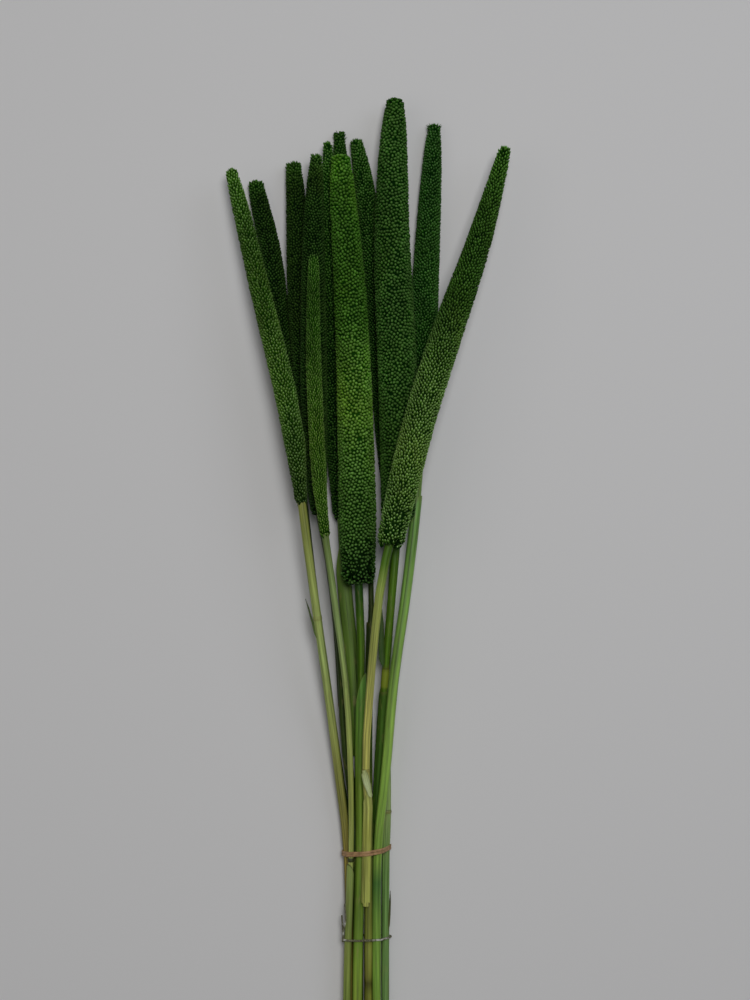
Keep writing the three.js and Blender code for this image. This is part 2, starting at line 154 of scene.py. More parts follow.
@dataclass
class Spine:
    """Centre line of a long piece, from its lower end to its upper end.

    Args:
        points: Points of the centre line.
        heights: Half the piece's height at each point.
        widths: Half the piece's width at each point.
    """

    points: np.ndarray
    heights: np.ndarray
    widths: np.ndarray

    def __post_init__(self) -> None:
        """Measures the distances and the directions along the line."""
        steps = np.linalg.norm(np.diff(self.points, axis=0), axis=1)
        self.marks = np.concatenate([[0.0], np.cumsum(steps)])
        self.length = float(self.marks[-1])
        self.along = unit(np.gradient(self.points, self.marks, axis=0))

    @classmethod
    def measure(cls, node: str, slices: int, margins: tuple[float, float], corners: int) -> "Spine":
        """Reads the centre line of a CAD node by slicing it across the bunch.

        Args:
            node: The CAD node's name.
            slices: How many slices are taken.
            margins: Distance from the lower and the upper end where slicing starts and stops.
            corners: How many corners the solid's cross-section has.

        Returns:
            The node's centre line, carried on to both of its ends.
        """
        triangles = node_triangles(node)
        low = triangles[:, :, 1].min() + margins[0]
        high = triangles[:, :, 1].max() - margins[1]
        edges = np.concatenate([triangles[:, [0, 1]], triangles[:, [1, 2]], triangles[:, [2, 0]]])
        start, end = edges[:, 0], edges[:, 1]
        narrow = 1.0 if corners % 4 == 0 else math.cos(math.pi / corners)
        points, heights, widths = [], [], []
        for y in np.linspace(low, high, slices):
            cut = (start[:, 1] - y) * (end[:, 1] - y) < 0
            share = ((y - start[cut, 1]) / (end[cut, 1] - start[cut, 1]))[:, None]
            rim = start[cut] + share * (end[cut] - start[cut])
            least, most = rim.min(axis=0), rim.max(axis=0)
            points.append((least + most) / 2)
            heights.append((most[2] - least[2]) / 2)
            widths.append((most[0] - least[0]) / 2 / narrow)
        line = np.array(points)
        everywhere = triangles.reshape(-1, 3)
        first = unit(line[1] - line[0])
        last = unit(line[-1] - line[-2])
        foot = line[0] + first * float(((everywhere - line[0]) @ first).min())
        head = line[-1] + last * float(((everywhere - line[-1]) @ last).max())
        return cls(
            np.concatenate([[foot], line, [head]]),
            np.array([heights[0], *heights, heights[-1]]),
            np.array([widths[0], *widths, widths[-1]]),
        )

    def blend(self, rows: np.ndarray, distance: np.ndarray) -> np.ndarray:
        """Rows of the centre line, blended for distances from the lower end."""
        return np.stack([np.interp(distance, self.marks, rows[:, i]) for i in range(3)], -1)

    def place(self, distance: np.ndarray) -> tuple[np.ndarray, np.ndarray, np.ndarray, np.ndarray]:
        """Points and directions at distances from the lower end.

        Args:
            distance: Distances along the line.

        Returns:
            Points, and the directions along, to the side and upwards there.
        """
        points = self.blend(self.points, distance)
        along = unit(self.blend(self.along, distance))
        side = unit(np.cross(along, [0.0, 0.0, 1.0]))
        return points, along, side, np.cross(side, along)

    def radius(self, distance: np.ndarray) -> np.ndarray:
        """Half the height at distances from the lower end."""
        return np.interp(distance, self.marks, self.heights)

    def width(self, distance: np.ndarray) -> np.ndarray:
        """Half the width at distances from the lower end."""
        return np.interp(distance, self.marks, self.widths)

    def mark_at(self, y: float) -> float:
        """Distance along the line where it crosses a given y."""
        return float(np.interp(y, self.points[:, 1], self.marks))


def add_grid(name: str, around: int, along: int) -> tuple[Piece, np.ndarray, np.ndarray]:
    """Adds a flat grid that is then rolled into a shape.

    Args:
        name: The object's name.
        around: Faces across.
        along: Faces along.

    Returns:
        The object, and for each vertex its share across and its row along.
    """
    deselect_all()
    bpy.ops.mesh.primitive_grid_add(
        x_subdivisions=around, y_subdivisions=along, size=1.0, calc_uvs=True, location=(0, 0, 0)
    )
    piece = bpy.context.object
    piece.name = name
    flat = np.zeros(len(piece.data.vertices) * 3)
    piece.data.vertices.foreach_get("co", flat)
    flat = flat.reshape(-1, 3)
    across = flat[:, 0] + 0.5
    rows = np.rint((flat[:, 1] + 0.5) * along).astype(int)
    return piece, across, rows


def set_places(piece: Piece, places: np.ndarray) -> None:
    """Moves every vertex of a piece."""
    piece.data.vertices.foreach_set("co", np.ascontiguousarray(places, dtype=np.float32).ravel())
    piece.data.update()


def set_attribute(piece: Piece, name: str, values: np.ndarray) -> None:
    """Stores one number for each vertex, for the materials to read."""
    attribute = piece.data.attributes.new(name, "FLOAT", "POINT")
    attribute.data.foreach_set("value", np.ascontiguousarray(values, dtype=np.float32))


def set_uv(piece: Piece, across: np.ndarray, along: np.ndarray) -> None:
    """Writes the UV map: the share across and the distance along in decimetres."""
    corners = np.zeros(len(piece.data.loops), np.int32)
    piece.data.loops.foreach_get("vertex_index", corners)
    pairs = np.stack([across[corners], along[corners] * 10], -1)
    piece.data.uv_layers[0].data.foreach_set("uv", pairs.astype(np.float32).ravel())


def close_seams(piece: Piece) -> None:
    """Merges the rolled grid's meeting edges and turns its faces outwards."""
    activate(piece)
    bpy.ops.object.mode_set(mode="EDIT")
    bpy.ops.mesh.select_all(action="SELECT")
    bpy.ops.mesh.remove_doubles(threshold=1e-6)
    bpy.ops.mesh.normals_make_consistent(inside=False)
    bpy.ops.object.mode_set(mode="OBJECT")
    bpy.ops.object.shade_smooth()


def thicken(piece: Piece, thickness: float) -> None:
    """Gives a sheet its thickness, inwards, with a Solidify modifier that is applied."""
    activate(piece)
    solidify = piece.modifiers.new("thickness", "SOLIDIFY")
    solidify.thickness = thickness
    solidify.offset = -1.0
    solidify.use_even_offset = True
    bpy.ops.object.modifier_apply(modifier=solidify.name)
    bpy.ops.object.shade_smooth_by_angle(angle=math.radians(50))


def flip(piece: Piece) -> None:
    """Turns every face of a sheet over."""
    activate(piece)
    bpy.ops.object.mode_set(mode="EDIT")
    bpy.ops.mesh.select_all(action="SELECT")
    bpy.ops.mesh.flip_normals()
    bpy.ops.object.mode_set(mode="OBJECT")


@dataclass(frozen=True)
class Ribs:
    """Fine ribs along a stem.

    Args:
        count: How many there are.
        height: How high they are, in millimetres.
    """

    count: int = 8
    height: float = 0.05


def roll_tube(
    name: str, spine: Spine, rows: list[tuple[float, float]], around: int, swell: np.ndarray, ribs: Ribs
) -> Piece:
    """Rolls a grid into a closed rod along a centre line.

    Args:
        name: The object's name.
        spine: The centre line.
        rows: Distance and share of the radius for each row; the first and last shares are zero.
        around: Faces around.
        swell: Extra radius for each row.
        ribs: The ribs along it.

    Returns:
        The rod, with the share of its length in the attribute "along".
    """
    piece, across, row = add_grid(name, around, len(rows) - 1)
    distance = np.array([pair[0] for pair in rows])[row]
    share = np.array([pair[1] for pair in rows])[row]
    turn = across * 2 * math.pi
    ridge = ribs.height * MM * (np.cos(turn * ribs.count) - 1) / 2
    radius = (spine.radius(distance) + swell[row] + ridge) * share
    points, _, side, up = spine.place(distance)
    ring = side * np.sin(turn)[:, None] - up * np.cos(turn)[:, None]
    set_places(piece, points + ring * radius[:, None])
    set_attribute(piece, "along", distance / spine.length)
    set_uv(piece, across, distance)
    close_seams(piece)
    return piece


class Shader:
    """Builds a node material step by step."""

    def __init__(self, name: str, roughness: float, specular: float) -> None:
        """Starts a material with a principled surface.

        Args:
            name: The material's name.
            roughness: The surface's roughness.
            specular: The surface's specular level.
        """
        self.material = bpy.data.materials.new(name)
        self.material.use_nodes = True
        self.tree = self.material.node_tree
        self.surface = self.tree.nodes["Principled BSDF"]
        self.surface.inputs["Roughness"].default_value = roughness
        self.surface.inputs["Specular IOR Level"].default_value = specular

    def add(self, kind: str, **settings: object) -> bpy.types.Node:
        """Adds a node and sets its properties."""
        node = self.tree.nodes.new(kind)
        for key, value in settings.items():
            setattr(node, key, value)
        return node

    def link(self, source: Socket, target: Socket) -> None:
        """Joins two sockets."""
        self.tree.links.new(source, target)

    def attribute(self, name: str) -> Socket:
        """The value that the mesh stores under a name."""
        return self.add("ShaderNodeAttribute", attribute_name=name).outputs["Fac"]

    def noise(self, scale: tuple[float, float, float], detail: float, uv: bool) -> Socket:
        """A noise pattern.

        Args:
            scale: Its scale along each axis.
            detail: Its detail.
            uv: Whether it follows the UV map instead of the object's own coordinates.

        Returns:
            The noise value, around one half.
        """
        place = self.add("ShaderNodeTexCoord")
        mapping = self.add("ShaderNodeMapping")
        mapping.inputs["Scale"].default_value = scale
        self.link(place.outputs["UV" if uv else "Object"], mapping.inputs["Vector"])
        texture = self.add("ShaderNodeTexNoise")
        texture.inputs["Scale"].default_value = 1.0
        texture.inputs["Detail"].default_value = detail
        self.link(mapping.outputs["Vector"], texture.inputs["Vector"])
        return texture.outputs["Fac"]

    def ramp(self, value: Socket, stops: Stops) -> Socket:
        """Colours along a value.

        Args:
            value: The value that is read.
            stops: Places from 0 to 1 and their colours.

        Returns:
            The colour.
        """
        node = self.add("ShaderNodeValToRGB")
        elements = node.color_ramp.elements
        while len(elements) < len(stops):
            elements.new(0.5)
        for element, (place, colour) in zip(elements, stops):
            element.position = place
            element.color = rgba(colour)
        self.link(value, node.inputs["Fac"])
        return node.outputs["Color"]

    def levels(self, value: Socket, given: tuple[float, float], wanted: tuple[float, float]) -> Socket:
        """Stretches a value from one range to another.

        Args:
            value: The value.
            given: The range that it comes in.
            wanted: The range that it leaves in.

        Returns:
            The stretched value, kept inside its range.
        """
        node = self.add("ShaderNodeMapRange", clamp=True)
        node.inputs["From Min"].default_value = given[0]
        node.inputs["From Max"].default_value = given[1]
        node.inputs["To Min"].default_value = wanted[0]
        node.inputs["To Max"].default_value = wanted[1]
        self.link(value, node.inputs["Value"])
        return node.outputs["Result"]

    def mix(self, share: Socket, first: Socket, second: Colour, way: str = "MIX") -> Socket:
        """Mixes a colour into another.

        Args:
            share: How much of the second colour shows.
            first: The first colour.
            second: The second colour.
            way: How the two are mixed.

        Returns:
            The mixed colour.
        """
        node = self.add("ShaderNodeMix", data_type="RGBA", blend_type=way, clamp_factor=True)
        self.link(share, node.inputs["Factor"])
        self.link(first, node.inputs[MIX_FIRST])
        node.inputs[MIX_SECOND].default_value = rgba(second)
        return node.outputs[MIX_RESULT]

    def brighten(self, colour: Socket, value: Socket) -> Socket:
        """Multiplies a colour's brightness by a value."""
        node = self.add("ShaderNodeHueSaturation")
        self.link(colour, node.inputs["Color"])
        self.link(value, node.inputs["Value"])
        return node.outputs["Color"]

    def tint(self, colour: Socket, share: Socket, glass: Colour) -> Socket:
        """Multiplies a colour by a share of another, as if seen through coloured glass."""
        return self.mix(share, colour, glass, "MULTIPLY")

    def times(self, first: Socket, second: Socket) -> Socket:
        """One value multiplied by another."""
        node = self.add("ShaderNodeMath", operation="MULTIPLY")
        self.link(first, node.inputs[0])
        self.link(second, node.inputs[1])
        return node.outputs["Value"]

    def bump(self, height: Socket, strength: float, distance: float) -> None:
        """Lets a value raise the surface."""
        node = self.add("ShaderNodeBump")
        node.inputs["Strength"].default_value = strength
        node.inputs["Distance"].default_value = distance
        self.link(height, node.inputs["Height"])
        self.link(node.outputs["Normal"], self.surface.inputs["Normal"])

    def paint(self, colour: Socket) -> Material:
        """Puts the colour on the surface and returns the material."""
        self.link(colour, self.surface.inputs["Base Color"])
        return self.material


class Finish:
    """A finish whose material is built once and then shared."""

    name: str

    def build(self) -> Material:
        """Builds the material."""
        raise NotImplementedError

    def material(self) -> Material:
        """The material, built the first time that it is asked for."""
        return bpy.data.materials.get(self.name) or self.build()


@dataclass(frozen=True)
class GrainFinish(Finish):
    """Finish of a spike's seeds: dark between them, partly painted shade, green on their sides, paler
    at their tips, partly painted highlight.

    Args:
        name: The material's name.
        gap: Colour deep between the seeds, partly painted shade.
        side: Colour of their sides.
        tip: Colour of their tips, partly painted highlight.
        ripe: Colour of riper patches.
        foot: Darker tint at the spike's foot, strongest deep between the seeds: partly the seeds' own
            colour and partly painted shade.
        head: Darker tint of the spike's upper part: partly the seeds' own colour and partly painted
            shade.
        foot_range: Shares of the length between which the foot's tint fades.
        head_range: Shares of the length between which the upper part's tint grows.
        glow: How much brighter the last seeds at the tip are: partly paler seeds and partly painted
            light.
        glow_from: Share of the length where that starts.
    """

    name: str
    gap: Colour
    side: Colour
    tip: Colour
    ripe: Colour
    foot: Colour = (0.7, 0.75, 0.7)
    head: Colour = (1.0, 1.0, 1.0)
    foot_range: tuple[float, float] = (0.0, 0.34)
    head_range: tuple[float, float] = (0.55, 1.0)
    glow: float = 1.0
    glow_from: float = 0.84

    def build(self) -> Material:
        """Builds the material."""
        shader = Shader(self.name, roughness=0.8, specular=0.06)
        tone = shader.attribute("tone")
        reach = shader.attribute("reach")
        along = shader.attribute("along")
        # Painted shade at each seed's root, rising to a pale tip that is partly painted highlight.
        green = shader.ramp(reach, ((0.34, self.gap), (0.7, self.side), (0.98, self.tip)))
        patches = shader.noise((30, 14, 30), 3, uv=False)
        ripe = shader.levels(patches, (0.48, 0.72), (0.0, 0.45))
        green = shader.mix(ripe, green, self.ripe)
        # More painted shade mixed in deep between the seeds.
        green = shader.mix(shader.levels(reach, (0.34, 0.78), (1.0, 0.0)), green, self.gap)
        single = shader.levels(tone, (0.0, 1.0), (0.6, 1.42))
        clouds = shader.levels(shader.noise((55, 30, 55), 2, uv=False), (0.3, 0.7), (0.82, 1.16))
        green = shader.brighten(shader.brighten(green, single), clouds)
        # Darker foot, most deeply between the seeds: partly the seeds' own colour and partly painted
        # shade.
        low = shader.levels(along, self.foot_range, (1.0, 0.0))
        inside = shader.levels(reach, (0.7, 1.0), (1.0, 0.62))
        green = shader.tint(green, shader.times(low, inside), self.foot)
        # Painted highlight: the last part of each seed is made brighter.
        green = shader.brighten(green, shader.levels(reach, (0.84, 1.0), (1.0, 1.25)))
        # Darker upper part: partly the seeds' own colour and partly painted shade.
        green = shader.tint(green, shader.levels(along, self.head_range, (0.0, 1.0)), self.head)
        # Brighter last seeds at the spike's tip: partly paler seeds and partly painted light.
        green = shader.brighten(green, shader.levels(along, (self.glow_from, 1.0), (1.0, self.glow)))
        shader.bump(shader.noise((2600, 2600, 2600), 2, uv=False), 0.25, 0.0004)
        return shader.paint(green)


class SpikeTone(Enum):
    """The greens that the spikes come in."""

    FRESH = GrainFinish(
        "fresh_green_seeds",
        gap=(0.012, 0.095, 0.0004),
        side=(0.056, 0.19, 0.004),
        tip=(0.19, 0.37, 0.08),
        ripe=(0.13, 0.23, 0.012),
        foot=(0.05, 0.12, 0.2),
        head=(0.4, 0.49, 0.36),
        foot_range=(0.0, 0.45),
        head_range=(0.46, 0.62),
        glow=1.6,
    )
    SILKY = GrainFinish(
        "silky_green_seeds",
        gap=(0.0126, 0.063, 0.0004),
        side=(0.047, 0.133, 0.0054),
        tip=(0.216, 0.342, 0.09),
        ripe=(0.1, 0.158, 0.0145),
        foot=(0.98, 0.98, 0.9),
        head=(0.57, 0.68, 0.62),
        head_range=(0.5, 0.75),
        glow=1.7,
        glow_from=0.88,
    )
    DEEP = GrainFinish(
        "deep_green_seeds",
        gap=(0.0012, 0.032, 0.0001),
        side=(0.0115, 0.066, 0.0014),
        tip=(0.08, 0.17, 0.04),
        ripe=(0.045, 0.105, 0.01),
    )
    BLUISH = GrainFinish(
        "bluish_green_seeds",
        gap=(0.001, 0.033, 0.0002),
        side=(0.013, 0.08, 0.003),
        tip=(0.1, 0.22, 0.065),
        ripe=(0.035, 0.1, 0.012),
    )
    MEADOW = GrainFinish(
        "meadow_green_seeds",
        gap=(0.002, 0.036, 0.0002),
        side=(0.017, 0.09, 0.0025),
        tip=(0.13, 0.255, 0.065),
        ripe=(0.05, 0.13, 0.009),
        # Painted shade: the foot tint darkens these spikes up to near the tip, fully over the lower
        # half, where they lie behind the others.
        foot=(0.36, 0.44, 0.36),
        foot_range=(0.55, 0.95),
    )
    OLIVE = GrainFinish(
        "olive_green_seeds",
        gap=(0.011, 0.065, 0.0005),
        side=(0.052, 0.134, 0.0075),
        tip=(0.26, 0.44, 0.135),
        ripe=(0.112, 0.169, 0.015),
        foot=(0.3, 0.3, 0.4),
        head=(0.62, 0.66, 0.62),
        head_range=(0.45, 0.58),
        glow=1.9,
        glow_from=0.8,
    )
    MOSS = GrainFinish(
        "moss_green_seeds",
        gap=(0.005, 0.038, 0.0003),
        side=(0.066, 0.158, 0.011),
        tip=(0.31, 0.5, 0.17),
        ripe=(0.14, 0.2, 0.028),
        foot=(0.95, 1.0, 0.95),
        head=(0.32, 0.45, 0.28),
        head_range=(0.38, 0.6),
        glow=2.1,
    )
    DUSKY = GrainFinish(
        "dusky_green_seeds",
        gap=(0.0008, 0.014, 0.0001),
        side=(0.007, 0.034, 0.001),
        tip=(0.05, 0.11, 0.024),
        ripe=(0.033, 0.052, 0.006),
        glow=2.2,
        glow_from=0.92,
    )


def take_shape(piece: Piece) -> Shape:
    """Takes the vertices and the faces of a piece and removes it."""
    places = np.array([vertex.co[:] for vertex in piece.data.vertices])
    faces = [list(face.vertices) for face in piece.data.polygons]
    bpy.data.objects.remove(piece)
    return places, faces


@dataclass(frozen=True)
class Grain:
    """One seed, modelled once and copied: its root is at the origin and its tip at one along Z.

    Args:
        segments: Faces round it.
        rings: Faces from root to tip.
        root: Widening of the ring next to its root.
        shoulder: Widening of the ring next to its tip.
    """

    segments: int = 5
    rings: int = 4
    root: float = 0.75
    shoulder: float = 1.12

    def build(self) -> Shape:
        """Models the seed.

        Returns:
            Its vertices and its faces.
        """
        deselect_all()
        bpy.ops.mesh.primitive_uv_sphere_add(
            segments=self.segments, ring_count=self.rings, radius=0.5, location=(0, 0, 0)
        )
        seed = bpy.context.object
        bpy.ops.object.mode_set(mode="EDIT")
        for low, high, wider in ((-0.4, -0.2, self.root), (0.2, 0.4, self.shoulder)):
            bpy.ops.mesh.select_all(action="DESELECT")
            bpy.ops.object.mode_set(mode="OBJECT")
            for vertex in seed.data.vertices:
                vertex.select = low < vertex.co.z < high
            bpy.ops.object.mode_set(mode="EDIT")
            bpy.ops.transform.resize(value=(wider, wider, 1.0))
        bpy.ops.mesh.select_all(action="SELECT")
        bpy.ops.transform.translate(value=(0, 0, 0.5))
        bpy.ops.object.mode_set(mode="OBJECT")
        return take_shape(seed)


@dataclass(frozen=True)
class SeedSetting:
    """How seeds are set on a spike.

    Args:
        pitch: Their spacing in millimetres.
        lean: How far they lean towards the tip, in degrees.
        wide: Their width as a share of the spacing.
        long: Their length as a share of the spacing.
        grain: Their shape.
    """

    pitch: float
    lean: float
    wide: float
    long: float
    grain: Grain


class Habit(Enum):
    """The ways in which seeds are set on a spike."""

    BEADED = SeedSetting(2.5, 30.0, 1.0, 1.35, Grain())
    POINTED = SeedSetting(2.15, 38.0, 1.0, 1.7, Grain(5, 3, 1.0, 0.88))
    FINE = SeedSetting(2.2, 54.0, 0.96, 1.9, Grain(5, 3, 1.0, 0.85))
    SILKY = SeedSetting(1.85, 62.0, 0.82, 2.5, Grain(5, 3, 1.0, 0.8))


@dataclass
class Bristle:
    """One hair, modelled once and copied: a slim cone from the origin to one along Z.

    Args:
        sides: Faces round it.
        taper: Its width at its end, as a share.
    """

    sides: int = 3
    taper: float = 0.25

    def build(self) -> Shape:
        """Models the hair.

        Returns:
            Its vertices and its faces.
        """
        deselect_all()
        bpy.ops.mesh.primitive_cone_add(
            vertices=self.sides, radius1=0.5, radius2=0.5 * self.taper, depth=1.0, location=(0, 0, 0.5)
        )
        hair = bpy.context.object
        bpy.ops.object.transform_apply(location=True, rotation=False, scale=False)
        return take_shape(hair)


@dataclass
class SeedSet:
    """Many seeds.

    Args:
        roots: Where each seed starts.
        axes: The ways across, through and along each seed.
        sizes: Width, depth and length of each seed.
        tones: The seeds' shades, from 0 to 1.
        along: Their places along the spike, from 0 to 1.
    """

    roots: np.ndarray
    axes: np.ndarray
    sizes: np.ndarray
    tones: np.ndarray
    along: np.ndarray

    @classmethod
    def aimed(
        cls,
        tips: np.ndarray,
        aim: np.ndarray,
        out: np.ndarray,
        sizes: np.ndarray,
        tones: np.ndarray,
        along: np.ndarray,
    ) -> "SeedSet":
        """Seeds whose tips are at given points.

        Args:
            tips: Where each seed ends.
            aim: The way that each seed points.
            out: The way out of the spike there.
            sizes: Width, depth and length of each seed.
            tones: The seeds' shades.
            along: Their places along the spike, from 0 to 1.

        Returns:
            The seeds.
        """
        across = unit(np.cross(aim, out) + 1e-6)
        axes = np.stack([across, np.cross(aim, across), aim], axis=1)
        return cls(tips - aim * sizes[:, 2:3], axes, sizes, tones, along)

    @classmethod
    def gather(cls, sets: list["SeedSet"]) -> "SeedSet":
        """All the seeds of several sets in one set."""
        return cls(*(np.concatenate([getattr(one, part.name) for one in sets]) for part in fields(cls)))


class SmallShape:
    """A small shape that is copied many times into one mesh."""

    def __init__(self, places: np.ndarray, faces: list[list[int]]) -> None:
        """Keeps the shape that is copied.

        Args:
            places: Its vertices.
            faces: Its faces.
        """
        self.places = places
        self.faces = faces

    def spread(self, name: str, seeds: SeedSet) -> Piece:
        """Copies the shape to every root.

        Args:
            name: The object's name.
            seeds: Where the copies go.

        Returns:
            The mesh with attributes "tone", "along" and "reach", the share of a seed's length.
        """
        count, corners = len(seeds.roots), len(self.places)
        local = self.places[None, :, :] * seeds.sizes[:, None, :]
        world = seeds.roots[:, None, :] + np.einsum("nki,nij->nkj", local, seeds.axes)
        lengths = np.array([len(face) for face in self.faces])
        corner_list = np.concatenate([np.array(face) for face in self.faces])
        loops = (corner_list[None, :] + (np.arange(count) * corners)[:, None]).ravel()
        totals = np.tile(lengths, count)
        starts = np.concatenate([[0], np.cumsum(totals)[:-1]])
        mesh = bpy.data.meshes.new(name)
        mesh.vertices.add(count * corners)
        mesh.vertices.foreach_set("co", world.astype(np.float32).ravel())
        mesh.loops.add(len(loops))
        mesh.loops.foreach_set("vertex_index", loops.astype(np.int32))
        mesh.polygons.add(len(totals))
        mesh.polygons.foreach_set("loop_start", starts.astype(np.int32))
        mesh.polygons.foreach_set("use_smooth", np.ones(len(totals), bool))
        mesh.update(calc_edges=True)
        piece = bpy.data.objects.new(name, mesh)
        bpy.context.scene.collection.objects.link(piece)
        set_attribute(piece, "tone", np.repeat(seeds.tones, corners))
        set_attribute(piece, "along", np.repeat(seeds.along, corners))
        set_attribute(piece, "reach", np.tile(self.places[:, 2], count))
        return piece


@dataclass(frozen=True)
class SpikeForm:
    """What all the spikes have in common, with lengths in millimetres.

    Args:
        first_seed: Distance of the first seeds from the foot.
        last_seed: Distance of the last seeds from the tip.
        tip_length: Length of the tip, where the seeds turn to point along the spike.
        end_length: Length of the blunt end.
        plump_length: Length over which a plump tip fills out.
        foot_length: Length over which the foot is rounded.
        foot_rounding: How far the foot is drawn in, as a share.
        stem_core: Least radius of the core, which hides the stem's end.
        stem_cover: Least reach of the seeds, which hides the core there.
        crowding: How much closer the seeds stand than their spacing asks for.
        thinning: How much thinner they stand at a loose foot, as a share.
        missing: Share of the seeds that is missing at a loose foot.
        early: Share of the seeds that start before a skew foot does.
        stray: How far seeds stray from even places, as a share of the spacing.
        stray_reach: How far seeds of a spiky tip stand out.
        rounds: How often neighbours are pushed apart.
    """

    first_seed: float = 0.8
    last_seed: float = 1.6
    tip_length: float = 11.0
    end_length: float = 5.0
    plump_length: float = 24.0
    foot_length: float = 7.0
    foot_rounding: float = 0.28
    stem_core: float = 3.25
    stem_cover: float = 3.7
    crowding: float = 1.05
    thinning: float = 0.24
    missing: float = 0.08
    early: float = 0.4
    stray: float = 0.26
    stray_reach: float = 1.6
    rounds: int = 7


FORM = SpikeForm()


@dataclass
class Spike:
    """A long spike: a dark core closely set with seeds, on the solid of the same number.

    Args:
        number: The stalk's number.
        tone: Its green.
        habit: How its seeds are set.
        flare: How far the seeds at the tip spread.
        loose: Share of the length, from the foot, where the seeds are thin and untidy.
        hairs: How many hairs hang from the foot.
        skew: How much higher the seeds start on the foot's right side, in millimetres.
        spiky: How far the seeds at the tip stick out.
        dome: Height of the rounded tip, as a share of its radius.
        plump: How much fuller the tip is with its seeds on, in millimetres.
    """

    number: int
    tone: SpikeTone
    habit: Habit
    flare: float = 0.7
    loose: float = 0.02
    hairs: int = 0
    skew: float = 0.0
    spiky: float = 0.0
    dome: float = 0.2
    plump: float = 0.0

    def __post_init__(self) -> None:
        """Reads the solid and seeds the chance that sets single seeds askew."""
        self.node = f"spike_{self.number:02d}"
        self.spine = Spine.measure(self.node, slices=64, margins=(10 * MM, 1.2 * MM), corners=12)
        self.length = self.spine.length
        self.chance = np.random.default_rng(100 + self.number)
        self.pitch = self.habit.value.pitch * MM
        self.wide = self.habit.value.wide * self.pitch
        self.long = self.habit.value.long * self.pitch
        self.blunt = float(self.spine.radius(np.array([self.length - FORM.end_length * MM]))[0])

    def ring(self, distance: np.ndarray, turn: np.ndarray) -> tuple[np.ndarray, np.ndarray, np.ndarray]:
        """Centre points with the directions along the spike and out of it.

        Args:
            distance: Distances from the foot.
            turn: Angles round the spike.

        Returns:
            The points on the centre line, the ways along and the ways out.
        """
        points, along, side, up = self.spine.place(distance)
        return points, along, side * np.sin(turn)[:, None] - up * np.cos(turn)[:, None]

    def core(self) -> Piece:
        """Models the dark core under the seeds: with no tone and no reach it takes the gap colour,
        darkened, partly painted shade between the seeds.

        Returns:
            The core.
        """
        length = self.length
        marks = np.linspace(0.004, 0.985, 40)
        radius = self.spine.radius(marks * length)
        taper = np.clip(0.45 + marks * length / (14 * MM), 0.0, 1.0)
        inner = np.maximum(radius - 0.8 * self.pitch, 0.3 * radius) * taper
        shares = np.maximum(inner, np.minimum(radius - 0.45 * MM, FORM.stem_core * MM)) / radius
        rows = [(marks[0] * length, 0.0)]
        rows += [(mark * length, share) for mark, share in zip(marks, shares)]
        rows += [(length * 0.99, shares[-1] * 0.5), (length * 0.992, 0.0)]
        name = f"core_{self.number:02d}"
        return roll_tube(name, self.spine, rows, 20, np.zeros(len(rows)), Ribs(0, 0.0))

    def shades(self, count: int) -> np.ndarray:
        """Random shades for single seeds."""
        return self.chance.beta(2.2, 2.6, count)

    def near_foot(self, distance: np.ndarray) -> np.ndarray:
        """How loose the seeds are at distances from the foot: 1 at the foot, 0 past the loose part."""
        return np.clip(1 - distance / (self.loose * self.length), 0.0, 1.0)

    def near_tip(self, distance: np.ndarray, reach: float) -> np.ndarray:
        """How near distances from the foot are to the tip: 1 at the tip, 0 at a reach from it."""
        return np.clip(1 - (self.length - distance) / (reach * MM), 0.0, 1.0)

    def foot_start(self, turn: np.ndarray) -> np.ndarray:
        """Distance from the foot where the seeds start, at angles round the spike."""
        return self.skew * MM * (1 + np.sin(turn)) / 2

    def pushed_apart(self, distance: np.ndarray, turn: np.ndarray) -> tuple[np.ndarray, np.ndarray]:
        """Moves seeds off their neighbours, so that they lie close but in no rows.

        Args:
            distance: Their distances from the foot.
            turn: Their angles round the spike.

        Returns:
            The new distances and angles.
        """
        first, last = FORM.first_seed * MM, self.length - FORM.last_seed * MM
        nearby = int(7.6 * self.spine.heights.max() / self.pitch)
        for _ in range(FORM.rounds):
            order = np.argsort(distance)
            distance, turn = distance[order], turn[order]
            radius = self.spine.radius(distance)
            push = np.zeros((len(distance), 2))
            for step in range(1, nearby):
                swing = (turn[step:] - turn[:-step] + math.pi) % (2 * math.pi) - math.pi
                offset = np.stack([swing * radius[step:], distance[step:] - distance[:-step]], -1)
                gap = np.linalg.norm(offset, axis=1, keepdims=True)
                force = offset / np.maximum(gap, 1e-9) * np.clip(self.pitch - gap, 0.0, None)
                push[step:] += force
                push[:-step] -= force
            turn = turn + 0.4 * push[:, 0] / radius
            distance = np.clip(distance + 0.4 * push[:, 1], first, last)
        return distance, turn

    def even_places(self) -> tuple[np.ndarray, np.ndarray]:
        """Places for seeds, spread evenly round the spike and then set a little astray.

        Returns:
            Their distances from the foot and their angles round the spike.
        """
        fine = np.linspace(FORM.first_seed * MM, self.length - FORM.last_seed * MM, 600)
        girth = 2 * math.pi * np.maximum(self.spine.radius(fine) - 0.3 * self.pitch, 0.4 * self.pitch)
        thin = self.near_foot(fine)
        density = FORM.crowding * girth / (HEXAGON * self.pitch**2) * (1 - FORM.thinning * thin)
        total = np.concatenate([[0.0], np.cumsum((density[1:] + density[:-1]) / 2 * np.diff(fine))])
        distance = np.interp(np.arange(int(total[-1])) + 0.5, total, fine)
        turn = np.arange(len(distance)) * GOLDEN_ANGLE
        stray = FORM.stray * self.pitch * (1 + np.interp(distance, fine, thin))
        turn = turn + self.chance.normal(0, 1, len(turn)) * stray / self.spine.radius(distance)
        distance = distance + self.chance.normal(0, 1, len(turn)) * stray
        return self.pushed_apart(distance, turn)

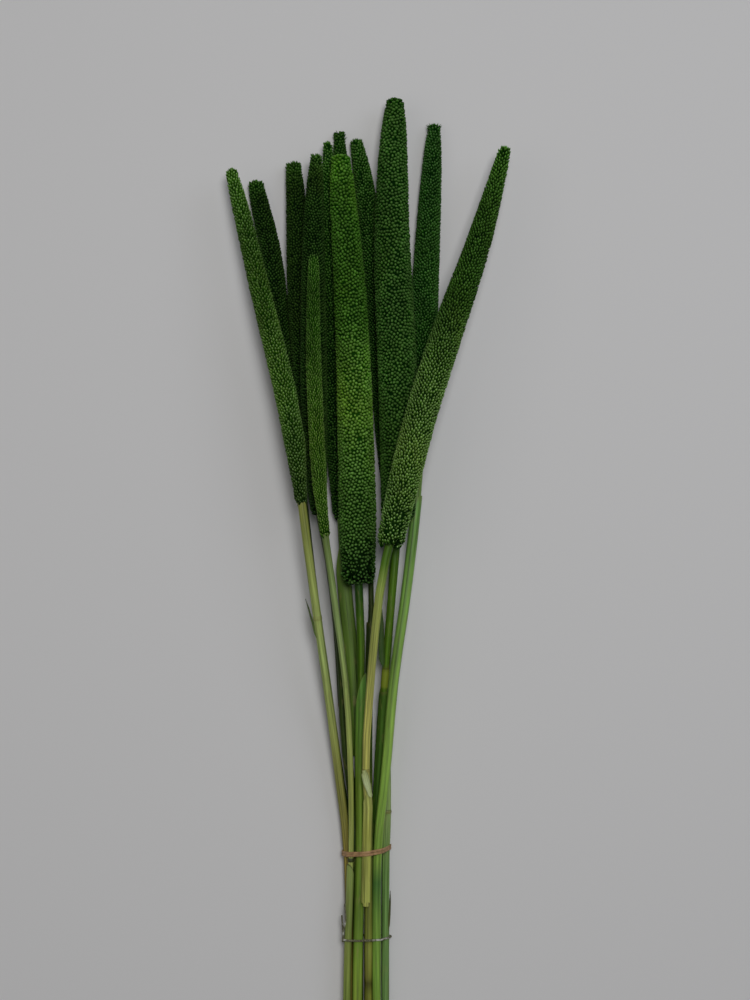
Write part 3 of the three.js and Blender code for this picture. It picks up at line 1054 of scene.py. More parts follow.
    def leans(self, near_foot: np.ndarray, near_tip: np.ndarray) -> np.ndarray:
        """How far seeds lean towards the tip: less at a loose foot, nearly along the spike at its tip.

        Args:
            near_foot: How loose they are.
            near_tip: How near they are to the tip.

        Returns:
            Their angles in radians.
        """
        count = len(near_foot)
        lean = self.habit.value.lean + self.chance.normal(0, 6, count)
        lean = lean - 45 * near_foot * self.chance.random(count)
        return np.radians(lean + (64 - 60 * self.spiky - lean) * near_tip)

    def reaches(self, distance: np.ndarray, out: np.ndarray, lean: np.ndarray) -> np.ndarray:
        """How far the seeds' tips are from the centre line.

        Args:
            distance: The seeds' distances from the foot.
            out: The ways out of the spike there.
            lean: How far they lean, in radians.

        Returns:
            The tips' distances from the centre line.
        """
        radius = self.spine.radius(distance)
        drawn_in = np.clip(1 - distance / (FORM.foot_length * MM), 0.0, 1.0) ** 2
        rounding = 1 - FORM.foot_rounding * drawn_in
        bulge = (0.08 + 0.12 * np.clip(-out[:, 2], 0.0, 1.0)) * self.wide * np.sin(lean)
        uneven = np.clip(self.chance.normal(-0.015, 0.015, len(distance)), -0.06, 0.0)
        reach = radius * rounding * (1 + uneven) - bulge
        reach = np.maximum(reach, np.minimum(radius, FORM.stem_cover * MM))
        below = np.clip((self.length - distance) / (FORM.end_length * MM), 0.0, 1.0)
        end = self.blunt * (1 - (0.2 + 0.4 * self.dome) * (1 - below) ** 2.5)
        reach = np.where(below < 1, np.maximum(reach, end), reach)
        stray = self.chance.uniform(0.0, FORM.stray_reach * MM, len(distance))
        reach = reach + self.spiky * self.near_tip(distance, FORM.tip_length) * stray
        return reach + self.plump * MM * self.near_tip(distance, FORM.plump_length)

    def side_seeds(self) -> SeedSet:
        """Seeds all round the spike.

        Returns:
            The seeds, their tips at the solid's surface.
        """
        chance = self.chance
        distance, turn = self.even_places()
        luck = chance.random(len(distance))
        begun = (distance > self.foot_start(turn)) | (luck > 1 - FORM.early)
        kept = (luck > FORM.missing * self.near_foot(distance)) & begun
        distance, turn = distance[kept], turn[kept]
        count = len(distance)
        near_foot = self.near_foot(distance)
        near_tip = self.near_tip(distance, FORM.tip_length)
        lean = self.leans(near_foot, near_tip)
        points, along, out = self.ring(distance, turn)
        sway = np.cross(along, out) * chance.normal(0, 0.1 + 0.25 * near_foot, count)[:, None]
        aim = unit(out * np.cos(lean)[:, None] + along * np.sin(lean)[:, None] + sway)
        size = chance.normal(1.02 + 0.1 * near_foot, 0.1 + 0.14 * near_foot, count).clip(0.55, 1.45)
        longest = 0.92 * self.spine.radius(distance) / np.cos(lean)
        long = np.minimum(self.long * size * (1 + self.spiky * near_tip), longest)
        oval = chance.normal(1.0, 0.13, count).clip(0.75, 1.3)
        slim = self.wide * size * (1 - 0.24 * near_foot)
        sizes = np.stack([slim * oval, 0.94 * slim / oval, long], axis=1)
        tips = points + out * self.reaches(distance, out, lean)[:, None]
        return SeedSet.aimed(tips, aim, out, sizes, self.shades(count), distance / self.length)

    def crown_seeds(self) -> SeedSet:
        """Seeds that close the tip like a blunt crown.

        Returns:
            The seeds, their tips at the solid's end.
        """
        chance = self.chance
        broad = self.blunt * (0.86 - 0.3 * self.dome + 0.75 * self.spiky) + self.plump * MM
        count = max(7, int(math.pi * broad**2 / (HEXAGON * (0.85 * self.pitch) ** 2)))
        share = np.sqrt((np.arange(count) + 0.5) / count)
        turn = np.arange(count) * GOLDEN_ANGLE
        uneven = (0.25 + 2 * self.spiky) * MM
        end = self.length - self.dome * broad * share**3 - np.abs(chance.normal(0, uneven, count))
        points, along, out = self.ring(end, turn)
        aim = unit(along + out * (self.flare * share)[:, None])
        size = chance.normal(1.0, 0.08, count)
        slim = (0.85 - 0.5 * self.spiky) * self.wide * size
        sizes = np.stack([slim, 0.94 * slim, (1.15 + self.spiky) * self.long * size], axis=1)
        tips = points + out * (broad * share)[:, None]
        return SeedSet.aimed(tips, aim, out, sizes, self.shades(count), np.ones(count))

    def foot_seeds(self) -> SeedSet:
        """Seeds that close the foot round the stem.

        Returns:
            The seeds, pointing down and outwards.
        """
        chance = self.chance
        foot = float(self.spine.radius(np.array([0.0]))[0])
        broad = max(0.78 * foot, min(foot - 0.5 * MM, 3.4 * MM))
        hole = 0.35 * broad
        count = max(6, int(math.pi * (broad**2 - hole**2) / (HEXAGON * self.pitch**2)))
        away = np.sqrt(hole**2 + (broad**2 - hole**2) * (np.arange(count) + 0.5) / count)
        turn = np.arange(count) * GOLDEN_ANGLE
        start = 0.2 * MM + np.abs(chance.normal(0, 0.4 * MM, count)) + self.foot_start(turn)
        points, along, out = self.ring(start, turn)
        aim = unit(out * (0.9 * away / broad)[:, None] - along * 0.8)
        size = chance.normal(0.85, 0.08, count)
        sizes = np.stack([self.wide * size, 0.9 * self.wide * size, 0.8 * self.long * size], axis=1)
        tips = points + out * away[:, None]
        # Foot seeds get darker shades and the full foot tint: partly their own colour and partly
        # painted shade under the foot.
        return SeedSet.aimed(tips, aim, out, sizes, 0.6 * self.shades(count), np.zeros(count))

    def foot_hairs(self) -> SeedSet:
        """Hairs that hang out of the foot.

        Returns:
            The hairs.
        """
        count, chance = self.hairs, self.chance
        turn = chance.uniform(0, 2 * math.pi, count)
        distance = self.loose * chance.random(count) ** 1.6 * self.length + 0.4 * self.foot_start(turn)
        points, along, out = self.ring(distance, turn)
        outwards = out * chance.uniform(0.4, 1.0, count)[:, None]
        lengthwise = along * chance.uniform(-1.0, 0.6, count)[:, None]
        aim = unit(outwards + lengthwise + chance.normal(0, 0.25, (count, 3)))
        long = chance.uniform(1.6, 4.4, count) * MM
        slim = np.full(count, 0.4 * MM)
        middles = points + out * (0.84 * self.spine.radius(distance))[:, None]
        tips = middles + aim * (0.5 * long)[:, None]
        sizes = np.stack([slim, slim, long], axis=1)
        return SeedSet.aimed(tips, aim, out, sizes, self.shades(count), np.full(count, 0.3))

    def build(self, grain: SmallShape, bristle: SmallShape) -> Piece:
        """Makes the whole spike and dresses it.

        Args:
            grain: The seed that is copied.
            bristle: The hair that is copied.

        Returns:
            The finished spike.
        """
        seeds = SeedSet.gather([self.side_seeds(), self.crown_seeds(), self.foot_seeds()])
        pieces = [grain.spread(f"seeds_{self.number:02d}", seeds), self.core()]
        if self.hairs:
            pieces.append(bristle.spread(f"hairs_{self.number:02d}", self.foot_hairs()))
        piece = join(pieces, f"seeded_spike_{self.number:02d}")
        return finish_piece(piece, self.node, [self.tone.value.material()])


@dataclass(frozen=True)
class StalkFinish(Finish):
    """Finish of a stem or sheath: greens along its length, fine veins and dry flecks.

    Args:
        name: The material's name.
        stops: Colours from the lower to the upper end.
        joint: Colour of joints and lips.
        fleck: Colour of dry flecks.
        veins: How many veins lie side by side.
        contrast: How strongly the veins show.
    """

    name: str
    stops: Stops
    joint: Colour = (0.2, 0.16, 0.05)
    fleck: Colour = (0.3, 0.25, 0.09)
    veins: float = 14.0
    contrast: float = 0.36

    def build(self) -> Material:
        """Builds the material."""
        shader = Shader(self.name, roughness=0.5, specular=0.25)
        colour = shader.ramp(shader.attribute("along"), self.stops)
        veins = shader.noise((self.veins, 2.4, 1.0), 3, uv=True)
        streaks = shader.noise((7.0, 1.4, 1.0), 4, uv=True)
        fine = shader.levels(veins, (0.25, 0.75), (1 - self.contrast, 1 + self.contrast))
        broad = shader.levels(streaks, (0.3, 0.7), (0.66, 1.32))
        colour = shader.brighten(shader.brighten(colour, fine), broad)
        lines = shader.noise((19.0, 0.9, 1.0), 2, uv=True)
        colour = shader.brighten(colour, shader.levels(lines, (0.56, 0.64), (1.0, 0.66)))
        flecks = shader.noise((9.0, 9.0, 1.0), 5, uv=True)
        colour = shader.mix(shader.levels(flecks, (0.58, 0.76), (0.0, 0.55)), colour, self.fleck)
        colour = shader.mix(shader.attribute("joint"), colour, self.joint)
        # Darker where the seam attribute is set: the stems' dark joint lines, and painted shade beside
        # a sheath's outer edge.
        seam = shader.levels(shader.attribute("seam"), (0.0, 1.0), (1.0, 0.3))
        colour = shader.brighten(colour, seam)
        shader.bump(veins, 0.35, 0.0003)
        return shader.paint(colour)


@dataclass(frozen=True)
class PithFinish(Finish):
    """Pale, dry pith on the cut ends."""

    name: str = "cut_pith"

    def build(self) -> Material:
        """Builds the material."""
        shader = Shader(self.name, roughness=0.85, specular=0.2)
        grain = shader.noise((1400, 1400, 1400), 3, uv=False)
        colour = shader.ramp(grain, ((0.25, (0.34, 0.3, 0.14)), (0.75, (0.62, 0.57, 0.36))))
        shader.bump(grain, 0.6, 0.0005)
        return shader.paint(colour)


@dataclass(frozen=True)
class Joint:
    """A joint of a stem.

    Args:
        y: Where it is, in millimetres.
        half: Half its length, in millimetres.
        swell: How far it swells, in millimetres.
        share: How strongly it shows its colour.
        line: How dark the line at its upper edge is.
    """

    y: float
    half: float = 1.4
    swell: float = 0.3
    share: float = 0.7
    line: float = 0.0


JOINT_STEPS = np.array([-1.5, -1.15, -0.95, -0.5, 0.0, 0.5, 0.8, 0.95, 1.15, 1.5])


@dataclass
class Stem:
    """A cut stem on the solid of the same number.

    Args:
        number: The stalk's number.
        finish: Its finish.
        joints: Its joints.
    """

    number: int
    finish: StalkFinish
    joints: tuple[Joint, ...] = ()

    def rows(self, spine: Spine) -> list[tuple[float, float]]:
        """Rows of the tube: close at the joints, closed at both ends.

        Args:
            spine: The stem's centre line.

        Returns:
            Distances from the lower end, with shares of the radius there.
        """
        edges = [np.linspace(0.0, spine.length, 100)[1:-1]]
        for joint in self.joints:
            edges.append(spine.mark_at(joint.y * MM) + JOINT_STEPS * joint.half * MM)
        rows = [(0.0, 0.0), (0.0, 0.55), (0.0, 0.93), (0.25 * MM, 1.0)]
        rows += [(float(mark), 1.0) for mark in np.unique(np.concatenate(edges))]
        return rows + [(spine.length, 0.95), (spine.length, 0.0)]

    def build(self, pith: Material) -> Piece:
        """Models the stem and dresses it.

        Args:
            pith: The finish of its cut end.

        Returns:
            The finished stem.
        """
        node = f"stem_{self.number:02d}"
        spine = Spine.measure(node, slices=90, margins=(2 * MM, 2 * MM), corners=6)
        rows = self.rows(spine)
        marks = np.array([mark for mark, _ in rows])
        swell = np.zeros(len(rows))
        tint = np.zeros(len(rows))
        line = np.zeros(len(rows))
        for joint in self.joints:
            away = (marks - spine.mark_at(joint.y * MM)) / (joint.half * MM)
            swell += joint.swell * MM * np.exp(-(away**2))
            tint += joint.share * np.clip((1.2 - np.abs(away)) / 0.25, 0.0, 1.0)
            line += joint.line * np.clip(1 - np.abs(away - 0.95) / 0.25, 0.0, 1.0)
        piece = roll_tube(f"cut_stem_{self.number:02d}", spine, rows, 16, swell, Ribs())
        shares = np.zeros(len(piece.data.vertices), np.float32)
        piece.data.attributes["along"].data.foreach_get("value", shares)
        places = shares * spine.length
        set_attribute(piece, "joint", np.interp(places, marks, np.clip(tint, 0, 1)))
        set_attribute(piece, "seam", np.interp(places, marks, np.clip(line, 0, 1)))
        end = Vector(spine.points[0])
        for face in piece.data.polygons:
            flat = abs((Vector(face.center) - end).dot(Vector(spine.along[0]))) < 0.1 * MM
            face.material_index = 1 if flat else 0
        return finish_piece(piece, node, [self.finish.material(), pith])


@dataclass
class Sheath:
    """A leaf sheath rolled round its stem, with one edge lying over the other and a slanting lip.

    Args:
        number: The stalk's number.
        finish: Its finish.
        lip: How much lower the lip is on its short side, in millimetres.
        lip_turn: Where round the stem the lip is highest, in degrees from straight up to the right.
        seam_turn: Where the outer edge lies, in degrees from straight up to the right.
        ragged: How uneven the lower and the upper end are, in millimetres.
        lip_tint: How strongly the lip takes the joints' colour.
        seam: How dark the line beside the outer edge is.
        seam_from: Share of the length where that line starts.
        drop: How far the whole lip is below the solid's end, in millimetres.
        wrap: How often the sheet goes round the stem.
        tuck: How much deeper the inner edge lies than the outer one, in millimetres.
        grooves: How many fine grooves run along it in one turn.
        groove: How deep they are, in millimetres.
        thickness: The sheet's thickness, in millimetres.
    """

    number: int
    finish: StalkFinish
    lip: float = 9.0
    lip_turn: float = 60.0
    seam_turn: float = 20.0
    ragged: tuple[float, float] = (0.0, 0.0)
    lip_tint: float = 0.4
    seam: float = 0.6
    seam_from: float = 0.0
    drop: float = 0.0
    wrap: float = 1.05
    tuck: float = 0.34
    grooves: int = 7
    groove: float = 0.05
    thickness: float = 0.24

    def build(self) -> Piece:
        """Models the sheath and dresses it.

        Returns:
            The finished sheath.
        """
        node = f"leaf_sheath_{self.number:02d}"
        spine = Spine.measure(node, slices=70, margins=(2.5 * MM, 2.5 * MM), corners=6)
        rows, columns = 84, 26
        piece, across, row = add_grid(f"rolled_sheath_{self.number:02d}", columns, rows)
        chance = np.random.default_rng(300 + self.number)
        turn = math.radians(self.seam_turn) + (across - 1.0) * 2 * math.pi * self.wrap
        teeth = np.linspace(0, 1, columns // 2 + 1)
        low = np.interp(across, teeth, chance.random(len(teeth))) * self.ragged[0] * MM
        short = self.lip * MM * ((1 - np.cos(turn - math.radians(self.lip_turn))) / 2) ** 1.4
        short = short + np.interp(across, teeth, chance.random(len(teeth))) * self.ragged[1] * MM
        top = spine.length - short - self.drop * MM
        distance = low + row / rows * (top - low)
        tuck = self.tuck * MM * (1 - across)
        groove = self.groove * MM * (np.cos(turn * self.grooves) - 1) / 2
        tall = spine.radius(distance) - tuck + groove
        broad = spine.width(distance) - tuck + groove
        points, _, side, up = spine.place(distance)
        ring = side * (np.sin(turn) * broad)[:, None] + up * (np.cos(turn) * tall)[:, None]
        set_places(piece, points + ring)
        set_attribute(piece, "along", distance / spine.length)
        near_lip = np.clip(1 - (top - distance) / (1.4 * MM), 0, 1)
        set_attribute(piece, "joint", near_lip * self.lip_tint)
        # Painted shade: a dark line on the inner layer just beside the outer edge that laps over it.
        line = np.clip(1 - np.abs(across - 0.06) / 0.045, 0, 1)
        line = line * np.clip((distance / spine.length - self.seam_from) / 0.1 + 1, 0, 1)
        set_attribute(piece, "seam", self.seam * line)
        set_uv(piece, across, distance)
        flip(piece)
        thicken(piece, self.thickness * MM)
        return finish_piece(piece, node, [self.finish.material()])


@dataclass
class TornLeaf:
    """A torn remnant of a leaf: a thin curled blade.

    Args:
        number: The stalk's number.
        finish: Its finish.
        curl: How far its edges curl up, as a share of its half width.
        blunt: Width left at its upper end, as a share.
        taper_rows: How many of its thirty rows its lower end takes to widen.
        root: How far its lower end bends right to meet its stem, in millimetres.
        thickness: Its thickness, in millimetres.
    """

    number: int
    finish: StalkFinish
    curl: float = 0.25
    blunt: float = 0.08
    taper_rows: int = 2
    root: float = 0.0
    thickness: float = 0.2

    def build(self) -> Piece:
        """Models the blade and dresses it.

        Returns:
            The finished blade.
        """
        node = f"torn_leaf_{self.number:02d}"
        spine = Spine.measure(node, slices=24, margins=(1 * MM, 1 * MM), corners=6)
        rows = 30
        piece, across, row = add_grid(f"torn_blade_{self.number:02d}", 8, rows)
        distance = row / rows * spine.length
        points, _, side, up = spine.place(distance)
        over = across * 2 - 1
        half = np.maximum(spine.width(distance), self.blunt * spine.widths.max())
        half = half * np.clip((row + 1.0) / self.taper_rows, 0.1, 1.0)
        lift = half * self.curl * (over**2 - 0.4)
        shift = self.root * MM * (1 - row / rows) ** 3
        set_places(piece, points + side * (over * half + shift)[:, None] + up * lift[:, None])
        set_attribute(piece, "along", row / rows)
        set_attribute(piece, "joint", np.zeros(len(across)))
        set_uv(piece, across, distance)
        thicken(piece, self.thickness * MM)
        return finish_piece(piece, node, [self.finish.material()])


def tight_loop(points: np.ndarray, inset: float, count: int) -> np.ndarray:
    """The tight outline round points, drawn in and evenly divided.

    Args:
        points: Points as x and z.
        inset: How far the outline is drawn in.
        count: How many points the outline gets.

    Returns:
        Points of the closed outline.
    """
    ordered = points[np.lexsort((points[:, 1], points[:, 0]))]
    chains = []
    for run in (ordered, ordered[::-1]):
        chain: list[np.ndarray] = []
        for point in run:
            while len(chain) > 1:
                back, ahead = chain[-1] - chain[-2], point - chain[-1]
                if back[0] * ahead[1] - back[1] * ahead[0] > 1e-12:
                    break
                chain.pop()
            chain.append(point)
        chains += chain[:-1]
    outline = np.array(chains)
    closed = np.concatenate([outline, outline[:1]])
    marks = np.concatenate([[0.0], np.cumsum(np.linalg.norm(np.diff(closed, axis=0), axis=1))])
    even = np.linspace(0.0, marks[-1], count, endpoint=False)
    loop = np.stack([np.interp(even, marks, closed[:, i]) for i in range(2)], -1)
    for _ in range(3):
        loop = (np.roll(loop, 1, axis=0) + 2 * loop + np.roll(loop, -1, axis=0)) / 4
    run = unit(np.roll(loop, -1, axis=0) - np.roll(loop, 1, axis=0))
    inward = np.stack([-run[:, 1], run[:, 0]], -1)
    return loop + inward * inset


@dataclass(frozen=True)
class BandFinish(Finish):
    """Finish of the old tan rubber."""

    name: str = "tan_rubber"

    def build(self) -> Material:
        """Builds the material."""
        shader = Shader(self.name, roughness=0.6, specular=0.4)
        spots = shader.noise((420, 420, 420), 4, uv=False)
        colour = shader.ramp(
            spots, ((0.3, (0.28, 0.16, 0.075)), (0.55, (0.45, 0.27, 0.125)), (0.8, (0.56, 0.38, 0.2)))
        )
        shader.bump(shader.noise((1800, 1800, 1800), 2, uv=False), 0.3, 0.0003)
        return shader.paint(colour)


@dataclass
class RubberBand:
    """The rubber band: strands side by side, stretched tight round the stems.

    Args:
        node: The solid that it replaces.
        thickness: Its thickness, in millimetres.
        strands: How many strands lie side by side.
        sag: How far the strands wander to and fro, in millimetres.
    """

    node: str = "rubber_band"
    thickness: float = 0.7
    strands: int = 2
    sag: float = 0.12

    def build(self) -> Piece:
        """Models the band and dresses it.

        Returns:
            The finished band.
        """
        corners = node_triangles(self.node).reshape(-1, 3)
        slant, middle = np.polyfit(corners[:, 0], corners[:, 1], 1)
        wide = float((corners[:, 1] - slant * corners[:, 0] - middle).max()) * 2
        half = wide / self.strands / 2
        count, sides = 120, 12
        loop = tight_loop(corners[:, [0, 2]], 0.5 * self.thickness * MM, count)
        run = unit(np.roll(loop, -1, axis=0) - np.roll(loop, 1, axis=0))
        outward = np.stack([run[:, 1], -run[:, 0]], -1)
        pieces = []
        for strand in range(self.strands):
            piece, across, row = add_grid(f"strand_{strand}", sides, count)
            spot = row % count
            turn = across * 2 * math.pi
            flat, deep = np.cos(turn), np.sin(turn)
            squared = (np.abs(flat) ** 4 + np.abs(deep) ** 4) ** -0.25
            shift = (strand - (self.strands - 1) / 2) * 2 * half
            wander = self.sag * MM * np.sin(spot / count * 2 * math.pi * 3 + strand)
            out = deep * squared * 0.47 * self.thickness * MM
            flat_place = loop[spot] + outward[spot] * out[:, None]
            y = middle + slant * flat_place[:, 0] + shift + flat * squared * half * 0.98 + wander
            set_places(piece, np.stack([flat_place[:, 0], y, flat_place[:, 1]], -1))
            close_seams(piece)
            pieces.append(piece)
        band = join(pieces, "stretched_rubber_band")
        return finish_piece(band, self.node, [BandFinish().material()])


@dataclass(frozen=True)
class TwineFinish(Finish):
    """Finish of the grey-brown twine with pale patches, partly its pale fibres and partly painted
    highlights.
    """

    name: str = "grey_twine"

    def build(self) -> Material:
        """Builds the material."""
        shader = Shader(self.name, roughness=0.9, specular=0.15)
        fibres = shader.noise((1500, 900, 1500), 4, uv=False)
        patches = shader.noise((260, 260, 260), 2, uv=False)
        browns = ((0.3, (0.05, 0.045, 0.025)), (0.55, (0.17, 0.165, 0.1)), (0.75, (0.36, 0.35, 0.27)))
        colour = shader.ramp(fibres, browns)
        # Pale patches: partly pale fibres and partly painted highlights.
        pale = shader.levels(patches, (0.54, 0.66), (0.0, 0.85))
        colour = shader.mix(pale, colour, (0.62, 0.63, 0.57))
        shader.bump(fibres, 0.7, 0.0004)
        return shader.paint(colour)


@dataclass
class Twine:
    """The twine: twisted strands round the stems, a knot and two short ends on the left.

    Args:
        node: The solid that it replaces.
        radius: The cord's radius, in millimetres.
        strands: How many strands are twisted together.
        lay: Length of one full twist, in millimetres.
        level: How far the turn lies above the solid's lowest point, in radii.
        tail_share: Thickness of the ends, as a share.
        knot_share: Thickness of the cord in the knot, as a share.
        ends: Stops of the two ends from the knot, in millimetres.
    """

    node: str = "twine_tie"
    radius: float = 0.8
    strands: int = 3
    lay: float = 3.4
    level: float = 1.9
    tail_share: float = 0.72
    knot_share: float = 0.8
    ends: tuple[tuple[tuple[float, float, float], ...], ...] = (
        ((-0.6, 0, 0), (-0.4, 6, 2.5), (1.4, 14, 4.6), (0.6, 25, 5.4)),
        ((-0.6, 0, 0), (-0.9, 8, -1.5), (-1.5, 16, -1)),
    )

    def twist(self, name: str, path: np.ndarray, radius: float, closed: bool) -> list[Piece]:
        """Winds strands along a path.

        Args:
            name: Start of the objects' names.
            path: Points of the path.
            radius: The cord's radius.
            closed: Whether the path is a loop.

        Returns:
            The strands.
        """
        count = len(path)
        before, after = np.roll(path, 1, axis=0), np.roll(path, -1, axis=0)
        if not closed:
            before[0] = path[0] * 2 - path[1]
            after[-1] = path[-1] * 2 - path[-2]
        along = unit(after - before)
        side = unit(np.cross(along, [0.3, 1.0, 0.2]))
        up = np.cross(side, along)
        marks = np.concatenate([[0.0], np.cumsum(np.linalg.norm(np.diff(path, axis=0), axis=1))])
        whole = marks[-1] + (np.linalg.norm(path[0] - path[-1]) if closed else 0.0)
        turns = max(1, round(whole / (self.lay * MM)))
        thick, wound = 0.56 * radius, 0.44 * radius
        rows = count if closed else count + 1
        made = []
        for strand in range(self.strands):
            piece, across, row = add_grid(f"{name}_{strand}", 7, rows)
            spot = row % count
            width = np.full(len(row), thick)
            if not closed:
                spot = np.clip(row - 1, 0, count - 1)
                width[(row == 0) | (row == rows)] = 0.0
            lay = marks[spot] / whole * turns * 2 * math.pi + strand * 2 * math.pi / self.strands
            winding = side[spot] * np.cos(lay)[:, None] + up[spot] * np.sin(lay)[:, None]
            turn = across * 2 * math.pi
            ring = side[spot] * np.cos(turn)[:, None] + up[spot] * np.sin(turn)[:, None]
            set_places(piece, path[spot] + winding * wound + ring * width[:, None])
            close_seams(piece)
            made.append(piece)
        return made

    def build(self) -> Piece:
        """Models the twine and dresses it.

        Returns:
            The finished twine.
        """
        corners = node_triangles(self.node).reshape(-1, 3)
        level = corners[:, 1].min() + self.level * self.radius * MM
        near = corners[np.abs(corners[:, 1] - level) < 1.05 * self.radius * MM]
        body = near[near[:, 0] > near[:, 0].min() + 2.2 * MM]
        loop = tight_loop(body[:, [0, 2]], self.radius * MM, 220)
        path = np.stack([loop[:, 0], np.full(len(loop), level), loop[:, 1]], -1)
        pieces = self.twist("turn", path, self.radius * MM, True)
        left = path[np.argmin(path[:, 0])]
        for index, end in enumerate(self.ends):
            stops = np.array(end) * MM + left
            shares = np.linspace(0, len(stops) - 1, 60)
            places = np.arange(len(stops))
            tail = np.stack([np.interp(shares, places, stops[:, i]) for i in range(3)], -1)
            for _ in range(12):
                tail[1:-1] = (tail[:-2] + 2 * tail[1:-1] + tail[2:]) / 4
            pieces += self.twist(f"tail_{index}", tail, self.tail_share * self.radius * MM, False)
        turns = np.linspace(0, 2 * math.pi, 60, endpoint=False)
        knot = np.stack([np.sin(2 * turns) * 0.5, np.cos(turns) * 1.1, np.sin(turns) * 0.9], -1) * MM
        knot = knot + left + np.array([-0.5 * MM, 0, 0])
        pieces += self.twist("knot", knot, self.knot_share * self.radius * MM, True)
        twine = join(pieces, "twisted_twine")
        return finish_piece(twine, self.node, [TwineFinish().material()])


@dataclass(frozen=True)
class Lamp:
    """A soft square lamp that points at the bunch.

    Args:
        name: Its name.
        place: Where it hangs, in metres.
        size: Its side, in metres.
        power: Its power, in watts.
        colour: Its colour.
    """

    name: str
    place: tuple[float, float, float]
    size: float
    power: float
    colour: Colour

    def hang(self) -> None:
        """Hangs the lamp."""
        deselect_all()
        bpy.ops.object.light_add(type="AREA", location=self.place)
        lamp = bpy.context.object
        lamp.name = self.name
        lamp.data.size = self.size
        lamp.data.energy = self.power
        lamp.data.color = self.colour
        aim = Vector((0.0, 0.05, 0.0)) - Vector(self.place)
        lamp.rotation_mode = "QUATERNION"
        lamp.rotation_quaternion = aim.to_track_quat("-Z", "Y")


LAMPS = (
    Lamp("front_light", (0.2, 0.45, 2.3), 0.6, 22.5, (1.0, 0.99, 0.98)),
    Lamp("side_light", (1.2, 0.9, 1.5), 1.2, 4.0, (0.93, 0.97, 1.06)),
    Lamp("fill_light", (-1.1, 0.2, 1.7), 1.5, 2.5, (1.0, 0.95, 0.88)),
)


@dataclass
class Studio:
    """Pale floor, soft light and the camera that looks straight down.

    Args:
        centre: The point under the camera, in millimetres.
        height: The camera's height, in millimetres.
        lens: Its focal length, in millimetres.
        floor_colour: The floor's colour.
        room_colour: Colour of the light from all round.
        room_strength: Strength of that light.
    """

    centre: tuple[float, float] = (5.18, 56.5)
    height: float = 1430.0
    lens: float = 76.4
    floor_colour: Colour = (0.74, 0.74, 0.745)
    room_colour: Colour = (0.96, 0.98, 1.0)
    room_strength: float = 0.07

    def floor(self) -> None:
        """Lays the pale floor."""
        deselect_all()
        bpy.ops.mesh.primitive_plane_add(size=8.0, location=(0, 0, 0))
        floor = bpy.context.object
        floor.name = "pale_floor"
        shader = Shader("pale_floor", roughness=0.95, specular=0.05)
        shader.surface.inputs["Base Color"].default_value = rgba(self.floor_colour)
        floor.data.materials.append(shader.material)

    def light(self) -> None:
        """Sets the soft light."""
        world = bpy.data.worlds.new("soft_room")
        bpy.context.scene.world = world
        world.use_nodes = True
        background = world.node_tree.nodes["Background"]
        background.inputs["Color"].default_value = rgba(self.room_colour)
        background.inputs["Strength"].default_value = self.room_strength
        for lamp in LAMPS:
            lamp.hang()

    def camera(self) -> None:
        """Hangs the camera over the bunch, looking straight down."""
        deselect_all()
        place = (self.centre[0] * MM, self.centre[1] * MM, self.height * MM)
        bpy.ops.object.camera_add(location=place, rotation=(0, 0, 0))
        camera = bpy.context.object
        camera.name = "overhead_camera"
        camera.data.sensor_width = 36.0
        camera.data.lens = self.lens
        bpy.context.scene.camera = camera

    def build(self) -> None:
        """Sets the whole studio, with colours shown as they are."""
        bpy.context.scene.view_settings.view_transform = "Standard"
        self.camera()
        self.floor()
        self.light()


SPIKES = (
    Spike(1, SpikeTone.OLIVE, Habit.FINE, flare=0.3, dome=0.6),
    Spike(2, SpikeTone.DUSKY, Habit.POINTED, spiky=0.15, dome=0.6),
    Spike(3, SpikeTone.DUSKY, Habit.POINTED, spiky=0.35),
    Spike(4, SpikeTone.DUSKY, Habit.POINTED, spiky=0.4),
    Spike(5, SpikeTone.MEADOW, Habit.POINTED, spiky=0.3, dome=0.5),
    Spike(6, SpikeTone.DEEP, Habit.POINTED, flare=1.3, spiky=0.85),
    Spike(7, SpikeTone.FRESH, Habit.BEADED, loose=0.13, hairs=190),
    Spike(8, SpikeTone.MEADOW, Habit.POINTED, spiky=0.25),
    Spike(9, SpikeTone.DEEP, Habit.BEADED),
    Spike(10, SpikeTone.BLUISH, Habit.POINTED, flare=1.2, spiky=0.75),
    Spike(11, SpikeTone.MOSS, Habit.FINE, loose=0.17, hairs=220, skew=6.0, dome=0.7, plump=1.2),
    Spike(12, SpikeTone.SILKY, Habit.SILKY, dome=1.1),
)

KHAKI = (0.43, 0.46, 0.11)
LEAF_GREEN = (0.17, 0.3, 0.06)
MID_GREEN = (0.06, 0.138, 0.0035)
DEEP_GREEN = (0.05, 0.1, 0.008)
DARK_GREEN = (0.03, 0.055, 0.005)

OLIVE_STEM = StalkFinish(
    "olive_stem",
    (
        (0.0, (0.23, 0.19, 0.03)),
        (0.35, (0.25, 0.2, 0.035)),
        (0.42, (0.31, 0.3, 0.065)),
        (0.7, (0.33, 0.43, 0.13)),
        (1.0, (0.25, 0.27, 0.05)),
    ),
)
